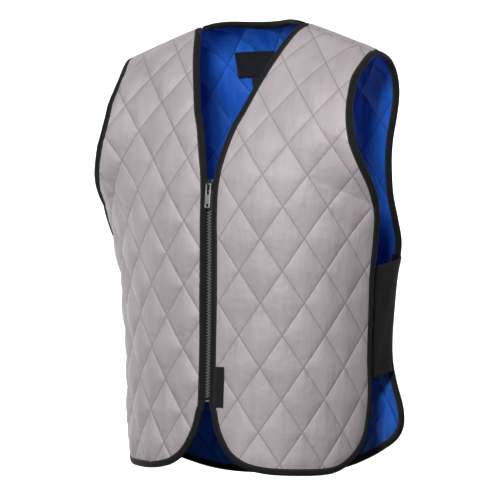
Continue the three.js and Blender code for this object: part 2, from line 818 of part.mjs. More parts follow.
function chainPiece() {
  const rings = [];
  const start = ZIP_TOP + SLIDER_LENGTH / 2;
  const teeth = Math.round((ZIP_BOTTOM - start) / TOOTH_PITCH);
  const half = CHAIN_WIDTH / 2;
  const ring = (t, thick) => [[-half, 1], [half, 1], [half, -1], [-half, -1]].map(([s, side]) => (
    lay(FRONT_FACE, s, t, CHAIN_MIDDLE + (side * thick) / 2)
  ));
  for (let j = 0; j < teeth; j += 1) {
    const t = start + j * TOOTH_PITCH;
    rings.push(ring(t, CHAIN_THICK));
    rings.push(ring(t + TOOTH_PITCH / 2, CHAIN_THICK - CHAIN_VALLEY));
  }
  return sweptBody(rings, [[0, 1], [1, 1], [1, 0], [0, 0]]);
}

function box(width, length, thick, x, y, z) {
  const geometry = new THREE.BoxGeometry(width, length, thick);
  return solidOf(geometry.translate(x, y, z));
}

// In the zip head's own frame x runs across, -y down the zip and z out of the cloth.
const TUNNEL = CHAIN_THICK / 2 + MOVING_GAP;
const PLATE_TOP = CHAIN_MIDDLE + TUNNEL + SLIDER_PLATE;
const PULL_LEVEL = BINDING_FRONT + BINDING_SWELL + MOVING_GAP + PULL_WALL / 2;
const PULL_BAR = PULL_RIM;
const BAR_SWING = Math.hypot(PULL_BAR, PULL_WALL) / 2;
const BRIDGE_TOP = PULL_LEVEL + BAR_SWING + MOVING_GAP + BRIDGE_WALL;

function sliderPiece() {
  const plateMiddle = TUNNEL + SLIDER_PLATE / 2;
  const front = box(SLIDER_WIDTH, SLIDER_LENGTH, SLIDER_PLATE, 0, 0, CHAIN_MIDDLE + plateMiddle);
  const rear = box(SLIDER_WIDTH, SLIDER_LENGTH, SLIDER_PLATE, 0, 0, CHAIN_MIDDLE - plateMiddle);
  const postLength = SLIDER_LENGTH / 2 - MOVING_GAP - SLIDER_PLATE;
  const post = box(
    SLIDER_WIDTH / 2, postLength, TUNNEL * 2 + SLIDER_PLATE,
    0, SLIDER_LENGTH / 2 - postLength / 2, CHAIN_MIDDLE,
  );
  const rise = BRIDGE_TOP - PLATE_TOP + SLIDER_PLATE / 2;
  const legAt = BRIDGE_LENGTH / 2 - BRIDGE_WALL / 2;
  const leg = (y) => box(BRIDGE_WIDTH, BRIDGE_WALL, rise, 0, y, BRIDGE_TOP - rise / 2);
  const arch = box(BRIDGE_WIDTH, BRIDGE_LENGTH, BRIDGE_WALL, 0, 0, BRIDGE_TOP - BRIDGE_WALL / 2);
  return geometryFrom([rear, post, leg(legAt), leg(-legAt), arch].reduce((a, b) => a.add(b), front));
}

// The pull hangs by its top bar, which passes under the bridge; its origin is that bar's axis.
function pullPiece() {
  const half = PULL_WIDTH / 2;
  const round = PULL_CORNER;
  const top = PULL_BAR / 2;
  const bottom = top - PULL_LENGTH;
  const shape = new THREE.Shape();
  shape.moveTo(-half, top);
  shape.lineTo(-half, bottom + round);
  shape.quadraticCurveTo(-half, bottom, -half + round, bottom);
  shape.lineTo(half - round, bottom);
  shape.quadraticCurveTo(half, bottom, half, bottom + round);
  shape.lineTo(half, top);
  shape.closePath();
  const window = (width, upper, length) => {
    const hole = new THREE.Path();
    hole.moveTo(-width / 2, upper);
    hole.lineTo(width / 2, upper);
    hole.lineTo(width / 2, upper - length);
    hole.lineTo(-width / 2, upper - length);
    hole.closePath();
    return hole;
  };
  shape.holes.push(window(PULL_WIDTH - 2 * PULL_RIM, top - PULL_BAR, PULL_SLOT));
  shape.holes.push(window(PULL_HOLE, bottom + PULL_RIM + PULL_HOLE, PULL_HOLE));
  const cut = { depth: PULL_WALL, bevelEnabled: false, curveSegments: 4 };
  const plate = new THREE.ExtrudeGeometry(shape, cut);
  plate.translate(0, 0, -PULL_WALL / 2);
  plate.deleteAttribute('normal');
  plate.deleteAttribute('uv');
  return mergeVertices(plate, MERGE);
}

const LABEL_GRID = 4;

// A label laid on a panel: level gives how far its near face stands from the cloth's middle.
function labelPiece(face, from, to, level, wall) {
  const rings = [];
  for (let j = 0; j <= LABEL_GRID; j += 1) {
    const t = THREE.MathUtils.lerp(from.t, to.t, j / LABEL_GRID);
    const near = [];
    const far = [];
    for (let i = 0; i <= LABEL_GRID; i += 1) {
      const share = i / LABEL_GRID;
      const s = THREE.MathUtils.lerp(from.s, to.s, share);
      near.push(lay(face, s, t, level(share)));
      far.unshift(lay(face, s, t, level(share) + wall));
    }
    rings.push([...near, ...far]);
  }
  const across = (i) => i / LABEL_GRID;
  const profile = [];
  for (let i = 0; i <= LABEL_GRID; i += 1) profile.push([across(i), 0]);
  for (let i = LABEL_GRID; i >= 0; i -= 1) profile.push([across(i), 1]);
  return sweptBody(rings, profile);
}

const LABEL_SEAT = LINING_PUFF + SEAT_GAP;

// A label on the back's lining, a little towards the wearer's right, its upper edge at a given
// height down the pattern
function liningLabel(width, height, top) {
  const level = () => -LINING_EDGE - LABEL_SEAT - LABEL_WALL;
  const from = { s: LABELS_ACROSS - width / 2, t: top };
  const to = { s: LABELS_ACROSS + width / 2, t: top + height };
  return labelPiece(BACK_FACE, from, to, level, LABEL_WALL);
}

const TAB_DOWN = NECK_LABEL_DOWN + NECK_LABEL_HEIGHT + CLOTH_GAP;
const neckLabel = () => liningLabel(NECK_LABEL_WIDTH, NECK_LABEL_HEIGHT, NECK_LABEL_DOWN);
const sizeTab = () => liningLabel(SIZE_TAB_WIDTH, SIZE_TAB_HEIGHT, TAB_DOWN);

function flagLabel() {
  const from = FRONT_GAP / 2 + BINDING_WIDTH + SEAT_GAP;
  const bottom = FRONT_LENGTH - FLAG_ABOVE_HEM;
  const level = (share) => SHELL_EDGE + FLAG_LIFT + PUFF * share;
  const upper = { s: from, t: bottom - FLAG_HEIGHT };
  return labelPiece(FRONT_FACE, upper, { s: from + FLAG_WIDTH, t: bottom }, level, LABEL_WALL);
}

// Assembly

const vest = new THREE.Group();

function add(parent, name, paint, geometry) {
  const solid = geometry.index ? geometry.toNonIndexed() : geometry;
  solid.computeVertexNormals();
  const mesh = new THREE.Mesh(solid, new THREE.MeshStandardMaterial(PAINTS[paint]));
  mesh.name = name;
  parent.add(mesh);
  return mesh;
}

const frontBinding = bindingPiece(frontEdge, FRONT_FACE);
const sidePanel = sidePanelPiece();
const zipTape = tapePiece();

add(vest, 'front_left_shell', 'shell', shellPiece(frontOutline, FRONT_FACE, LEFT_QUILT));
add(vest, 'front_left_lining', 'lining', liningPiece(frontOutline, FRONT_FACE, LEFT_QUILT));
add(vest, 'front_right_shell', 'shell', acrossX(shellPiece(frontOutline, FRONT_FACE, RIGHT_QUILT)));
add(
  vest,
  'front_right_lining',
  'lining',
  acrossX(liningPiece(frontOutline, FRONT_FACE, RIGHT_QUILT)),
);
add(vest, 'back_shell', 'shell', shellPiece(backOutline, BACK_FACE, BACK_QUILT));
add(vest, 'back_lining', 'lining', liningPiece(backOutline, BACK_FACE, BACK_QUILT));
add(vest, 'front_left_binding', 'binding', frontBinding);
add(vest, 'front_right_binding', 'binding', acrossX(frontBinding));
add(vest, 'back_binding', 'binding', bindingPiece(backEdge, BACK_FACE));
add(vest, 'back_neck_binding', 'binding', bindingPiece(backNeckEdge, BACK_FACE));
add(vest, 'side_panel_left', 'stretch', sidePanel);
add(vest, 'side_panel_right', 'stretch', acrossX(sidePanel));
add(vest, 'zip_tape_left', 'tape', zipTape);
add(vest, 'zip_tape_right', 'tape', acrossX(zipTape));
add(vest, 'zip_chain', 'teeth', chainPiece());
add(vest, 'neck_label', 'label', neckLabel());
add(vest, 'size_tab', 'label', sizeTab());
add(vest, 'flag_label', 'label', flagLabel());

// The zip head stands square to the cloth at the top of the zip.
const zipHead = new THREE.Group();
const headAt = ZIP_TOP + SLIDER_LENGTH / 2;
const headOut = formNormal(FRONT_FACE, 0, headAt);
const headAcross = new THREE.Vector3(1, 0, 0);
const headUp = headOut.clone().cross(headAcross);
zipHead.setRotationFromMatrix(new THREE.Matrix4().makeBasis(headAcross, headUp, headOut));
zipHead.position.copy(formPoint(FRONT_FACE, 0, headAt));
vest.add(zipHead);
add(zipHead, 'zip_slider', 'slider', sliderPiece());
const pull = add(zipHead, 'zip_pull', 'pull', pullPiece());
pull.position.set(0, 0, PULL_LEVEL);

export default vest;
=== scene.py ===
# %% [markdown]
# # A quilted cooling vest
# The vest hangs filled out, as if worn. It is made of flat cut pieces: two fronts and a back, each
# with a pale outer cloth and a blue lining, bound with black tape, and joined by stretch side
# panels. So every piece here starts as a flat sheet in its own pattern, in millimetres, and is
# then laid over the torso form. The frame, with its sizes and moving bodies, is loaded first.

import math

import bmesh
import bpy
import numpy as np
from mathutils import Matrix, Vector


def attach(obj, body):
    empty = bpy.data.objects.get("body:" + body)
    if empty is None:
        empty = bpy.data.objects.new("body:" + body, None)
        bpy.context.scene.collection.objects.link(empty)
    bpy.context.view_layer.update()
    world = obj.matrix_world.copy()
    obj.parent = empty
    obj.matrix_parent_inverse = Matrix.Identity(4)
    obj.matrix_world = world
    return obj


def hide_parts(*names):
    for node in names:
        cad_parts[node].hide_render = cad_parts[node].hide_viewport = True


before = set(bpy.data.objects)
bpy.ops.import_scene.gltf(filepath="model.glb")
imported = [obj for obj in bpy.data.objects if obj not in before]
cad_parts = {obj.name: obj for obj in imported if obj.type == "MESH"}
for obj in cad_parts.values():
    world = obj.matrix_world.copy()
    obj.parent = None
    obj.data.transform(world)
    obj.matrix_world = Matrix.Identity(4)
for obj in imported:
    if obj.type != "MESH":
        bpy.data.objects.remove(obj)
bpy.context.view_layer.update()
print("frame nodes:", len(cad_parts))

# %% [markdown]
# ## The torso form
# A pattern point is (across, down). Down the body the cloth leans out and in, and across it turns
# round the ribs. Both are short tables: the distance below the shoulder ridge, the lean from
# upright and the turn at the panel's reach. Adding up small steps of the lean and of the turn
# lays the cloth without stretching it, which is why the quilting keeps its size on the chest.

# %% Torso form
NECK_HALF, SHOULDER_HALF = 82.0, 199.0
FORM_LENGTH, REACH = 700.0, 250.0
MM = 0.001

FRONT_RIBS = np.array([
    (0, 78, 0), (0.017, 56, -1), (0.037, 43, -3), (0.093, 37, -8), (0.143, 32, -7),
    (0.186, 30, 0), (0.229, 28, 9), (0.279, 23, 27), (0.336, 16, 49), (0.4, 7, 61),
    (0.486, 0, 69), (0.643, 1, 76), (0.8, 3, 79), (1, 5, 86),
])
BACK_RIBS = np.array([
    (0, 88, 0), (0.043, 74, 0), (0.086, 50, 2), (0.121, 28, 4), (0.157, 16, 8),
    (0.214, 8, 14), (0.286, 3, 24), (0.4, -2, 34), (0.514, -5, 40), (0.629, -4, 42),
    (0.8, 2, 40), (1, 5, 38),
])


class Form:
    """One side of the torso: lays pattern points, in millimetres, in space, in metres."""

    def __init__(self, ribs, bend, facing):
        self.ribs, self.bend, self.facing = ribs, bend, facing
        middle = np.arange(1.0, 840.0, 2.0)
        lean = np.radians(np.interp(middle / FORM_LENGTH, ribs[:, 0], ribs[:, 1]))
        self.at = np.concatenate(([0.0], middle + 1.0))
        self.out = np.concatenate(([0.0], np.cumsum(np.sin(lean)) * 2.0))
        self.fall = np.concatenate(([0.0], np.cumsum(np.cos(lean)) * 2.0))
        self.top_lean = math.radians(ribs[0, 1])

    def point(self, s, t):
        ridge = ridge_drop(s)
        q = t - ridge
        above = np.minimum(q, 0.0)
        out = np.interp(q, self.at, self.out) + above * math.sin(self.top_lean)
        down = np.interp(q, self.at, self.fall) + above * math.cos(self.top_lean)
        turn = np.radians(np.interp(q / FORM_LENGTH, self.ribs[:, 0], self.ribs[:, 2]))
        steps = (np.arange(24) + 0.5) / 24
        angle = turn[:, None] * (np.abs(s)[:, None] * steps / REACH) ** self.bend
        x = np.cos(angle).mean(1) * s
        back = np.sin(angle).mean(1) * np.abs(s)
        seam = -2.0 - 0.06 * (np.abs(s) - NECK_HALF)
        return np.stack((x, seam + self.facing * (out - back), 26.5 - ridge - down), 1)

    def normal(self, s, t):
        across = self.point(s + 1.0, t) - self.point(s - 1.0, t)
        down = self.point(s, t + 1.0) - self.point(s, t - 1.0)
        out = np.cross(across, down) * self.facing
        return out / np.linalg.norm(out, axis=1, keepdims=True)

    def lay(self, s, t, n):
        """Pattern points n millimetres out from the middle of the cloth, in metres."""
        s, t = np.asarray(s, float).ravel(), np.asarray(t, float).ravel()
        n = np.broadcast_to(np.asarray(n, float), s.shape)
        return (self.point(s, t) + self.normal(s, t) * n[:, None]) * MM


def ridge_drop(s):
    """How far the shoulder ridge has sloped down at a distance across."""
    slope = math.tan(math.radians(22.0)) / 2

    def soft(d):
        return slope * (d + np.hypot(d, 45.0))

    return soft(np.abs(s) - 50.0) - soft(NECK_HALF - 50.0)


FRONT = Form(FRONT_RIBS, 1.14, -1)
BACK = Form(BACK_RIBS, 1.8, 1)
print("hem of the form, metres:", FRONT.lay([0], [662], 0)[0].round(3))

# %% [markdown]
# ## The cut edges
# Each panel's cut edge is a smooth curve through a few points. They could be drawn by hand as
# Bezier curves, but the tape, the quilting and the side panels all follow the same edges, so
# one table for each edge keeps them together. The tables hold shares of the garment's sizes.

# %% Cut edges
FRONT_LENGTH, BACK_LENGTH = 662.0, 694.0
V_DEPTH, FRONT_GAP = 280.0, 8.0
FRONT_ARMHOLE, BACK_ARMHOLE = 368.0, 376.0
BACK_REACH, NECKLINE_DIP = 210.0, 34.0
ZIP_TOP, ZIP_BOTTOM = 259.0, 564.0


def smooth_run(points, step=3.0):
    """Evenly spaced points on a smooth curve through the given ones."""
    p = np.asarray(points, float)
    p = np.concatenate((p[:1], p, p[-1:]))
    run = []
    for a, b, c, d in zip(p, p[1:], p[2:], p[3:]):
        u = np.linspace(0, 1, 40, endpoint=False)[:, None]
        m, k = (c - a) / 2, (d - b) / 2
        run.append((2 * b - 2 * c + m + k) * u**3 + (-3 * b + 3 * c - 2 * m - k) * u**2 + m * u + b)
    run = np.concatenate((*run, p[-1:]))
    along = np.concatenate(([0], np.cumsum(np.linalg.norm(np.diff(run, axis=0), axis=1))))
    even = np.linspace(0, along[-1], int(math.ceil(along[-1] / step)) + 1)
    return np.stack([np.interp(even, along, run[:, k]) for k in (0, 1)], 1)


def seam_down(s):
    return float(ridge_drop(np.array([abs(s)]))[0]) + 0.6


V_EDGE = [(0.87, 0.09), (0.745, 0.214), (0.56, 0.393), (0.39, 0.564), (0.268, 0.657),
          (0.158, 0.779), (0.079, 0.893)]
FRONT_HEM = [(0.028, 0.128), (0.048, 0.095), (0.084, 0.065), (0.132, 0.039), (0.196, 0.021),
             (0.264, 0.0106), (0.38, 0.003), (0.54, 0), (0.684, 0), (0.78, 0.006),
             (0.86, 0.022), (0.928, 0.045), (0.976, 0.072), (1.002, 0.11)]
FRONT_SIDE = [(1.012, 0.347), (1.004, 0.446), (0.992, 0.578), (0.988, 0.74), (0.986, 0.9)]
BACK_SIDE = [(0.97, 0.53), (0.963, 0.66), (0.98, 0.86)]
FRONT_ARM = [(0.94, 1), (0.93, 0.913), (0.84, 0.82), (0.6, 0.728), (0.24, 0.62), (0.02, 0.533),
             (-0.1, 0.446), (-0.14, 0.364), (-0.18, 0.274), (-0.1, 0.19)]
BACK_ARM = [(1, 1), (1, 0.936), (0.2, 0.864), (-1, 0.763), (-1.45, 0.652), (-1.36, 0.558),
            (-0.72, 0.463), (-0.27, 0.388), (-0.1, 0.3), (0, 0.22)]
BACK_HEM = [(0.29, 0.002), (0.52, 0.013), (0.72, 0.034), (0.88, 0.056), (1.01, 0.078),
            (1.085, 0.103), (1.1, 0.13), (1.08, 0.156), (1.02, 0.195)]
BACK_NECK = [(0.83, -0.12), (0.6, 0.1), (0.33, 0.45), (0, 0.6)]


def arm_points(rows, reach, depth):
    return [(SHOULDER_HALF + (reach - SHOULDER_HALF) * a, depth * d) for a, d in rows]


def side_points(rows, reach, armhole, length):
    return [(reach * a, length - (length - armhole) * up) for a, up in rows]


neck_point = (NECK_HALF, seam_down(NECK_HALF))
tip_point = (SHOULDER_HALF, seam_down(SHOULDER_HALF))
front_edge = np.concatenate((
    smooth_run([neck_point, *[(NECK_HALF * a, V_DEPTH * d) for a, d in V_EDGE],
                (FRONT_GAP / 2, V_DEPTH)]),
    smooth_run([(FRONT_GAP / 2, V_DEPTH + 3), (FRONT_GAP / 2, 471), (FRONT_GAP / 2, ZIP_BOTTOM),
                *[(REACH * a, FRONT_LENGTH * (1 - up)) for a, up in FRONT_HEM],
                *side_points(FRONT_SIDE, REACH, FRONT_ARMHOLE, FRONT_LENGTH),
                *arm_points(FRONT_ARM, REACH, FRONT_ARMHOLE), tip_point]),
))
back_half = [*[(BACK_REACH * a, BACK_LENGTH * (1 - up)) for a, up in BACK_HEM],
             *side_points(BACK_SIDE, BACK_REACH, BACK_ARMHOLE, BACK_LENGTH),
             *arm_points(BACK_ARM, BACK_REACH, BACK_ARMHOLE), tip_point]
mirrored = [(-s, t) for s, t in reversed(back_half)]


def tilted(point):
    """The back hangs a little lower on the wearer's right."""
    s, t = point
    below = min(max((t - BACK_ARMHOLE) / (BACK_LENGTH - BACK_ARMHOLE), 0), 1)
    return s, t - 12.0 * below * s / BACK_REACH


back_edge = smooth_run([tilted(p) for p in [*mirrored, (0, BACK_LENGTH), *back_half]])
neck_half = [neck_point, *[(NECK_HALF * a, NECKLINE_DIP * d) for a, d in BACK_NECK]]
neck_edge = smooth_run([*neck_half, *[(-s, t) for s, t in reversed(neck_half[:-1])]])
print("edge lengths in mm, front, back, neck:",
      [round(float(np.linalg.norm(np.diff(e, axis=0), axis=1).sum())) for e in
       (front_edge, back_edge, neck_edge)])

# %% [markdown]
# Tape, padding and linings are set in from these edges. The way in is square to the edge, and
# at its two ends it follows the shoulder seam, so front and back meet there.

# %% Ways in from an edge
def ways_in(edge):
    along = np.gradient(edge, axis=0)
    along /= np.linalg.norm(along, axis=1, keepdims=True)
    inward = np.stack((along[:, 1], -along[:, 0]), 1)
    for end in (0, -1):
        s = edge[end, 0]
        seam = np.array([1.0 if s > 0 else -1.0, seam_down(abs(s) + 1) - seam_down(abs(s))])
        seam /= np.linalg.norm(seam)
        inward[end] = seam if seam @ inward[end] > 0 else -seam
    return inward


def seam_between(start, end):
    return [(s, seam_down(s)) for s in np.linspace(start, end, 40)[1:-1]]


front_rim = front_edge + ways_in(front_edge) * 1.8
back_rim = back_edge + ways_in(back_edge) * 1.8
neck_rim = neck_edge + ways_in(neck_edge) * 1.8
front_outline = np.array([*front_rim, *seam_between(front_rim[-1][0], front_rim[0][0])])
back_outline = np.array([*back_rim, *seam_between(back_rim[-1][0], neck_rim[0][0]),
                         *neck_rim, *seam_between(neck_rim[-1][0], back_rim[0][0])])
print("outline points:", len(front_outline), len(back_outline))

# %% [markdown]
# ## Shader maths
# Cloth needs many small formulas, such as how far a point is from the nearest stitch line. A
# node for each sum is slow to read, so this class wraps a socket and lets Python's own signs
# add the Math nodes. Every other node comes from its `node` method.

# %% Shader maths
class Thread:
    """A shader socket that can be used in sums."""

    tree = None

    def __init__(self, socket):
        self.socket = socket

    @classmethod
    def node(cls, kind, settings=None, sockets=None, output=0):
        made = cls.tree.nodes.new(kind)
        for name, value in (settings or {}).items():
            if name == "stops":
                ramp = made.color_ramp
                for place, tone in value[2:]:
                    ramp.elements.new(place)
                for element, (place, tone) in zip(ramp.elements, sorted(value)):
                    element.position, element.color = place, (*tone, 1)
            else:
                setattr(made, name, value)
        for name, value in (sockets or {}).items():
            if isinstance(value, Thread):
                cls.tree.links.new(value.socket, made.inputs[name])
            else:
                made.inputs[name].default_value = value
        return cls(made.outputs[output])

    def maths(self, operation, *others):
        return Thread.node("ShaderNodeMath", {"operation": operation},
                           {0: self, **{k + 1: o for k, o in enumerate(others)}})

    def __add__(self, other):
        return self.maths("ADD", other)

    def __sub__(self, other):
        return self.maths("SUBTRACT", other)

    def __rsub__(self, other):
        return (self * -1.0) + other

    def __mul__(self, other):
        return self.maths("MULTIPLY", other)

    def __truediv__(self, other):
        return self.maths("DIVIDE", other)

    def __lt__(self, other):
        return self.maths("LESS_THAN", other)

    __radd__, __rmul__ = __add__, __mul__

    def wave(self, length):
        """A ripple from 0 to 1, one for each length."""
        return (self * (2 * math.pi / length)).maths("SINE") * 0.5 + 0.5

    def off_line(self):
        """How far a value is from the nearest whole number."""
        return ((self + 0.5).maths("FRACT") - 0.5).maths("ABSOLUTE")

    def fade(self, near, far):
        """1 up to near, falling softly to 0 at far."""
        return Thread.node("ShaderNodeMapRange", {"interpolation_type": "SMOOTHSTEP"},
                           {0: self, 1: near, 2: far, 3: 1.0, 4: 0.0})


def pattern(name):
    """The two numbers of a piece's own map, such as millimetres across and down."""
    point = Thread.node("ShaderNodeUVMap", {"uv_map": name})
    apart = {"Vector": point}
    return (Thread.node("ShaderNodeSeparateXYZ", None, apart, 0),
            Thread.node("ShaderNodeSeparateXYZ", None, apart, 1))


def cloud(across, down, scale, detail=3.0, seed=0.0):
    """Soft noise over the cloth, from about 0 to 1; scale is in features a millimetre."""
    place = Thread.node("ShaderNodeCombineXYZ", None, {0: across * scale[0], 1: down * scale[1],
                                                       2: seed})
    return Thread.node("ShaderNodeTexNoise", None,
                       {"Vector": place, "Scale": 1.0, "Detail": detail, "Roughness": 0.55})


def blend(mask, first, second):
    """Colour first where mask is 0 and second where it is 1."""
    first, second = (c if isinstance(c, Thread) else (*c[:3], 1) for c in (first, second))
    return Thread.node("ShaderNodeMix", {"data_type": "RGBA"}, {0: mask, 6: first, 7: second}, 2)


def finish(name, roughness, **fixed):
    """A new material and its shader, with the values that are the same all over."""
    material = bpy.data.materials.new(name)
    material.use_nodes = True
    Thread.tree = material.node_tree
    shader = material.node_tree.nodes["Principled BSDF"]
    shader.inputs["Roughness"].default_value = roughness
    for socket, value in fixed.items():
        shader.inputs[socket.replace("_", " ")].default_value = value
    return material, shader


def wire(shader, colour=None, height=None, roughness=None, strength=1.0):
    """Feeds a shader. Height is in millimetres."""
    links = Thread.tree.links
    if colour is not None:
        links.new(colour.socket, shader.inputs["Base Color"])
    if roughness is not None:
        links.new(roughness.socket, shader.inputs["Roughness"])
    if height is not None:
        bump = Thread.node("ShaderNodeBump", None,
                           {"Height": height, "Distance": MM, "Strength": strength})
        links.new(bump.socket, shader.inputs["Normal"])


# %% [markdown]
# ## Quilted cloth
# The outer cloth is a smooth, faintly pink silver nylon and the lining a royal blue one. Both
# show a fine weave, soft crinkles that run down the cloth, and the stitch lines, which are thin
# rows of thread sunk in a narrow valley, darkened along it as painted shade. The stitches follow
# the quilting, so the panels carry a second map, `quilt`, that counts stitch lines: a thread lies
# where either number is whole.

# %% Quilted cloth finishes
STITCH = 3.4
ROW_GAP = 50.0
RUN = 53.3


def quilted_cloth(name, light, deep, thread, roughness, crinkle, **fixed):
    material, shader = finish(name, roughness, **fixed)
    across, down = pattern("pattern")
    row, column = pattern("quilt")
    off_row, off_column = row.off_line() * ROW_GAP, column.off_line() * ROW_GAP
    dash_row = ((column * (RUN / STITCH)).maths("FRACT")) < 0.74
    dash_column = ((row * (RUN / STITCH)).maths("FRACT")) < 0.74
    thread_mask = (off_row.fade(0.3, 0.62) * dash_row).maths(
        "MAXIMUM", off_column.fade(0.3, 0.62) * dash_column)
    valley = off_row.fade(0.0, 1.9).maths("MAXIMUM", off_column.fade(0.0, 1.9))
    tone = cloud(across, down, (0.012, 0.009), 2.0)
    streak = cloud(across, down, (0.11, 0.016), 3.0, 4.0)
    speck = cloud(across, down, (1.3, 1.3), 1.0, 9.0)
    shade = tone * 0.55 + streak * 0.3 + speck * 0.15
    cloth = blend(shade.fade(0.36, 0.64), light, deep)
    # Near the stitch lines the cloth is blended toward the deep tone: painted shade in the valleys.
    cloth = blend(valley * 0.34, cloth, deep)
    colour = blend(thread_mask * 0.85, cloth, thread)
    weave = across.wave(0.62) * down.wave(0.62)
    creases = cloud(across, down, (0.16, 0.045), 4.0, 2.0)
    dents = cloud(across, down, (0.05, 0.06), 2.0, 7.0)
    folds = cloud(across, down, (0.034, 0.009), 2.0, 5.0)
    height = (creases * crinkle + dents * (crinkle * 1.5) + folds * (crinkle * 3.0)
              + weave * 0.035 - valley * 0.5 + thread_mask * 0.2)
    wire(shader, colour, height, streak * 0.12 + (roughness - 0.06), 0.9)
    return material


outer_cloth = quilted_cloth("outer_cloth", (0.505, 0.452, 0.468), (0.43, 0.388, 0.405),
                            (0.20, 0.18, 0.19), 0.5, 0.85,
                            Sheen_Weight=0.12, Sheen_Roughness=0.4, Specular_IOR_Level=0.38)
lining_cloth = quilted_cloth("lining_cloth", (0.024, 0.155, 0.68), (0.012, 0.085, 0.44),
                             (0.006, 0.045, 0.26), 0.42, 1.15,
                             Specular_IOR_Level=0.12)
print("quilted finishes made")

# %% [markdown]
# ## Making a quilted panel
# A quilted panel is a sheet sewn down along crossing lines, and the padding pushes it up
# between them. Modelling each diamond by hand would look stamped, so the sheet is a flat grid
# whose own lines run along the stitches. It is cut slightly larger than its space, its stitched
# points are pinned, and a cloth simulation blows it up. The creases that appear along the
# threads are the cloth's own. Then the flat result is laid over the torso form.

# %% Flat quilt grid
QUILT_WIDTH, QUILT_HEIGHT = 61.0, 87.4
CELLS = 13


def inside(outline, points):
    """Which points lie inside a closed outline."""
    a, b = outline, np.roll(outline, -1, axis=0)
    x, y = points[:, :1], points[:, 1:]
    crosses = (a[:, 1] > y) != (b[:, 1] > y)
    with np.errstate(divide="ignore", invalid="ignore"):
        at = (b[:, 0] - a[:, 0]) * (y - a[:, 1]) / (b[:, 1] - a[:, 1]) + a[:, 0]
    return (crosses & (x < at)).sum(1) % 2 == 1


def nearest_on(outline, points):
    """The nearest place on a closed outline, and how far it is."""
    a, b = outline, np.roll(outline, -1, axis=0)
    d = b - a
    share = ((points[:, None] - a) * d).sum(2) / np.maximum((d * d).sum(1), 1e-9)
    place = a + np.clip(share, 0, 1)[..., None] * d
    away = np.linalg.norm(place - points[:, None], axis=2)
    best = away.argmin(1)
    rows = np.arange(len(points))
    return place[rows, best], away[rows, best]


def quilt_grid(outline, quilt):
    """A flat grid along the stitch lines, cut to the outline."""
    low, high = outline.min(0), outline.max(0)
    corners = np.array([(s, t) for s in (low[0], high[0]) for t in (low[1], high[1])]) - quilt
    a, b = corners[:, 0] / QUILT_WIDTH, corners[:, 1] / QUILT_HEIGHT
    u0, u1 = math.floor((a + b).min()), math.ceil((a + b).max())
    v0, v1 = math.floor((a - b).min()), math.ceil((a - b).max())
    bm = bmesh.new()
    bmesh.ops.create_grid(bm, x_segments=(u1 - u0) * CELLS, y_segments=(v1 - v0) * CELLS, size=0.5)
    counts = Matrix(((u1 - u0, 0, 0, (u0 + u1) / 2), (0, v1 - v0, 0, (v0 + v1) / 2),
                     (0, 0, 1, 0), (0, 0, 0, 1)))
    skew = Matrix(((QUILT_WIDTH / 2, QUILT_WIDTH / 2, 0, quilt[0]),
                   (QUILT_HEIGHT / 2, -QUILT_HEIGHT / 2, 0, quilt[1]),
                   (0, 0, 1, 0), (0, 0, 0, 1)))
    bmesh.ops.transform(bm, matrix=skew @ counts, verts=bm.verts)
    centres = np.array([f.calc_center_median()[:2] for f in bm.faces])
    keep = inside(outline, centres)
    bmesh.ops.delete(bm, geom=[f for f, k in zip(bm.faces, keep) if not k], context="FACES")
    loose = [f for f in bm.faces if sum(e.is_boundary for e in f.edges) > 2]
    bmesh.ops.delete(bm, geom=loose, context="FACES")
    rim = [v for v in bm.verts if v.is_boundary]
    moved, _ = nearest_on(outline, np.array([v.co[:2] for v in rim]))
    for vert, place in zip(rim, moved):
        vert.co.xy = place
    return bm


# %% [markdown]
# The simulation works on the flat sheet, ten times its real size, because Blender's cloth is
# steadier when its cells aren't tiny. Pressure is 4 and gravity is off. How much spare cloth
# there is varies softly over the panel, so some diamonds are tight and some are slack.

# %% Blow up the flat quilt
SIM_SCALE = 0.01
MOST_RISE = 6.0


def quilt_counts(quilt, points):
    a = (points[:, 0] - quilt[0]) / QUILT_WIDTH
    b = (points[:, 1] - quilt[1]) / QUILT_HEIGHT
    return a + b, a - b


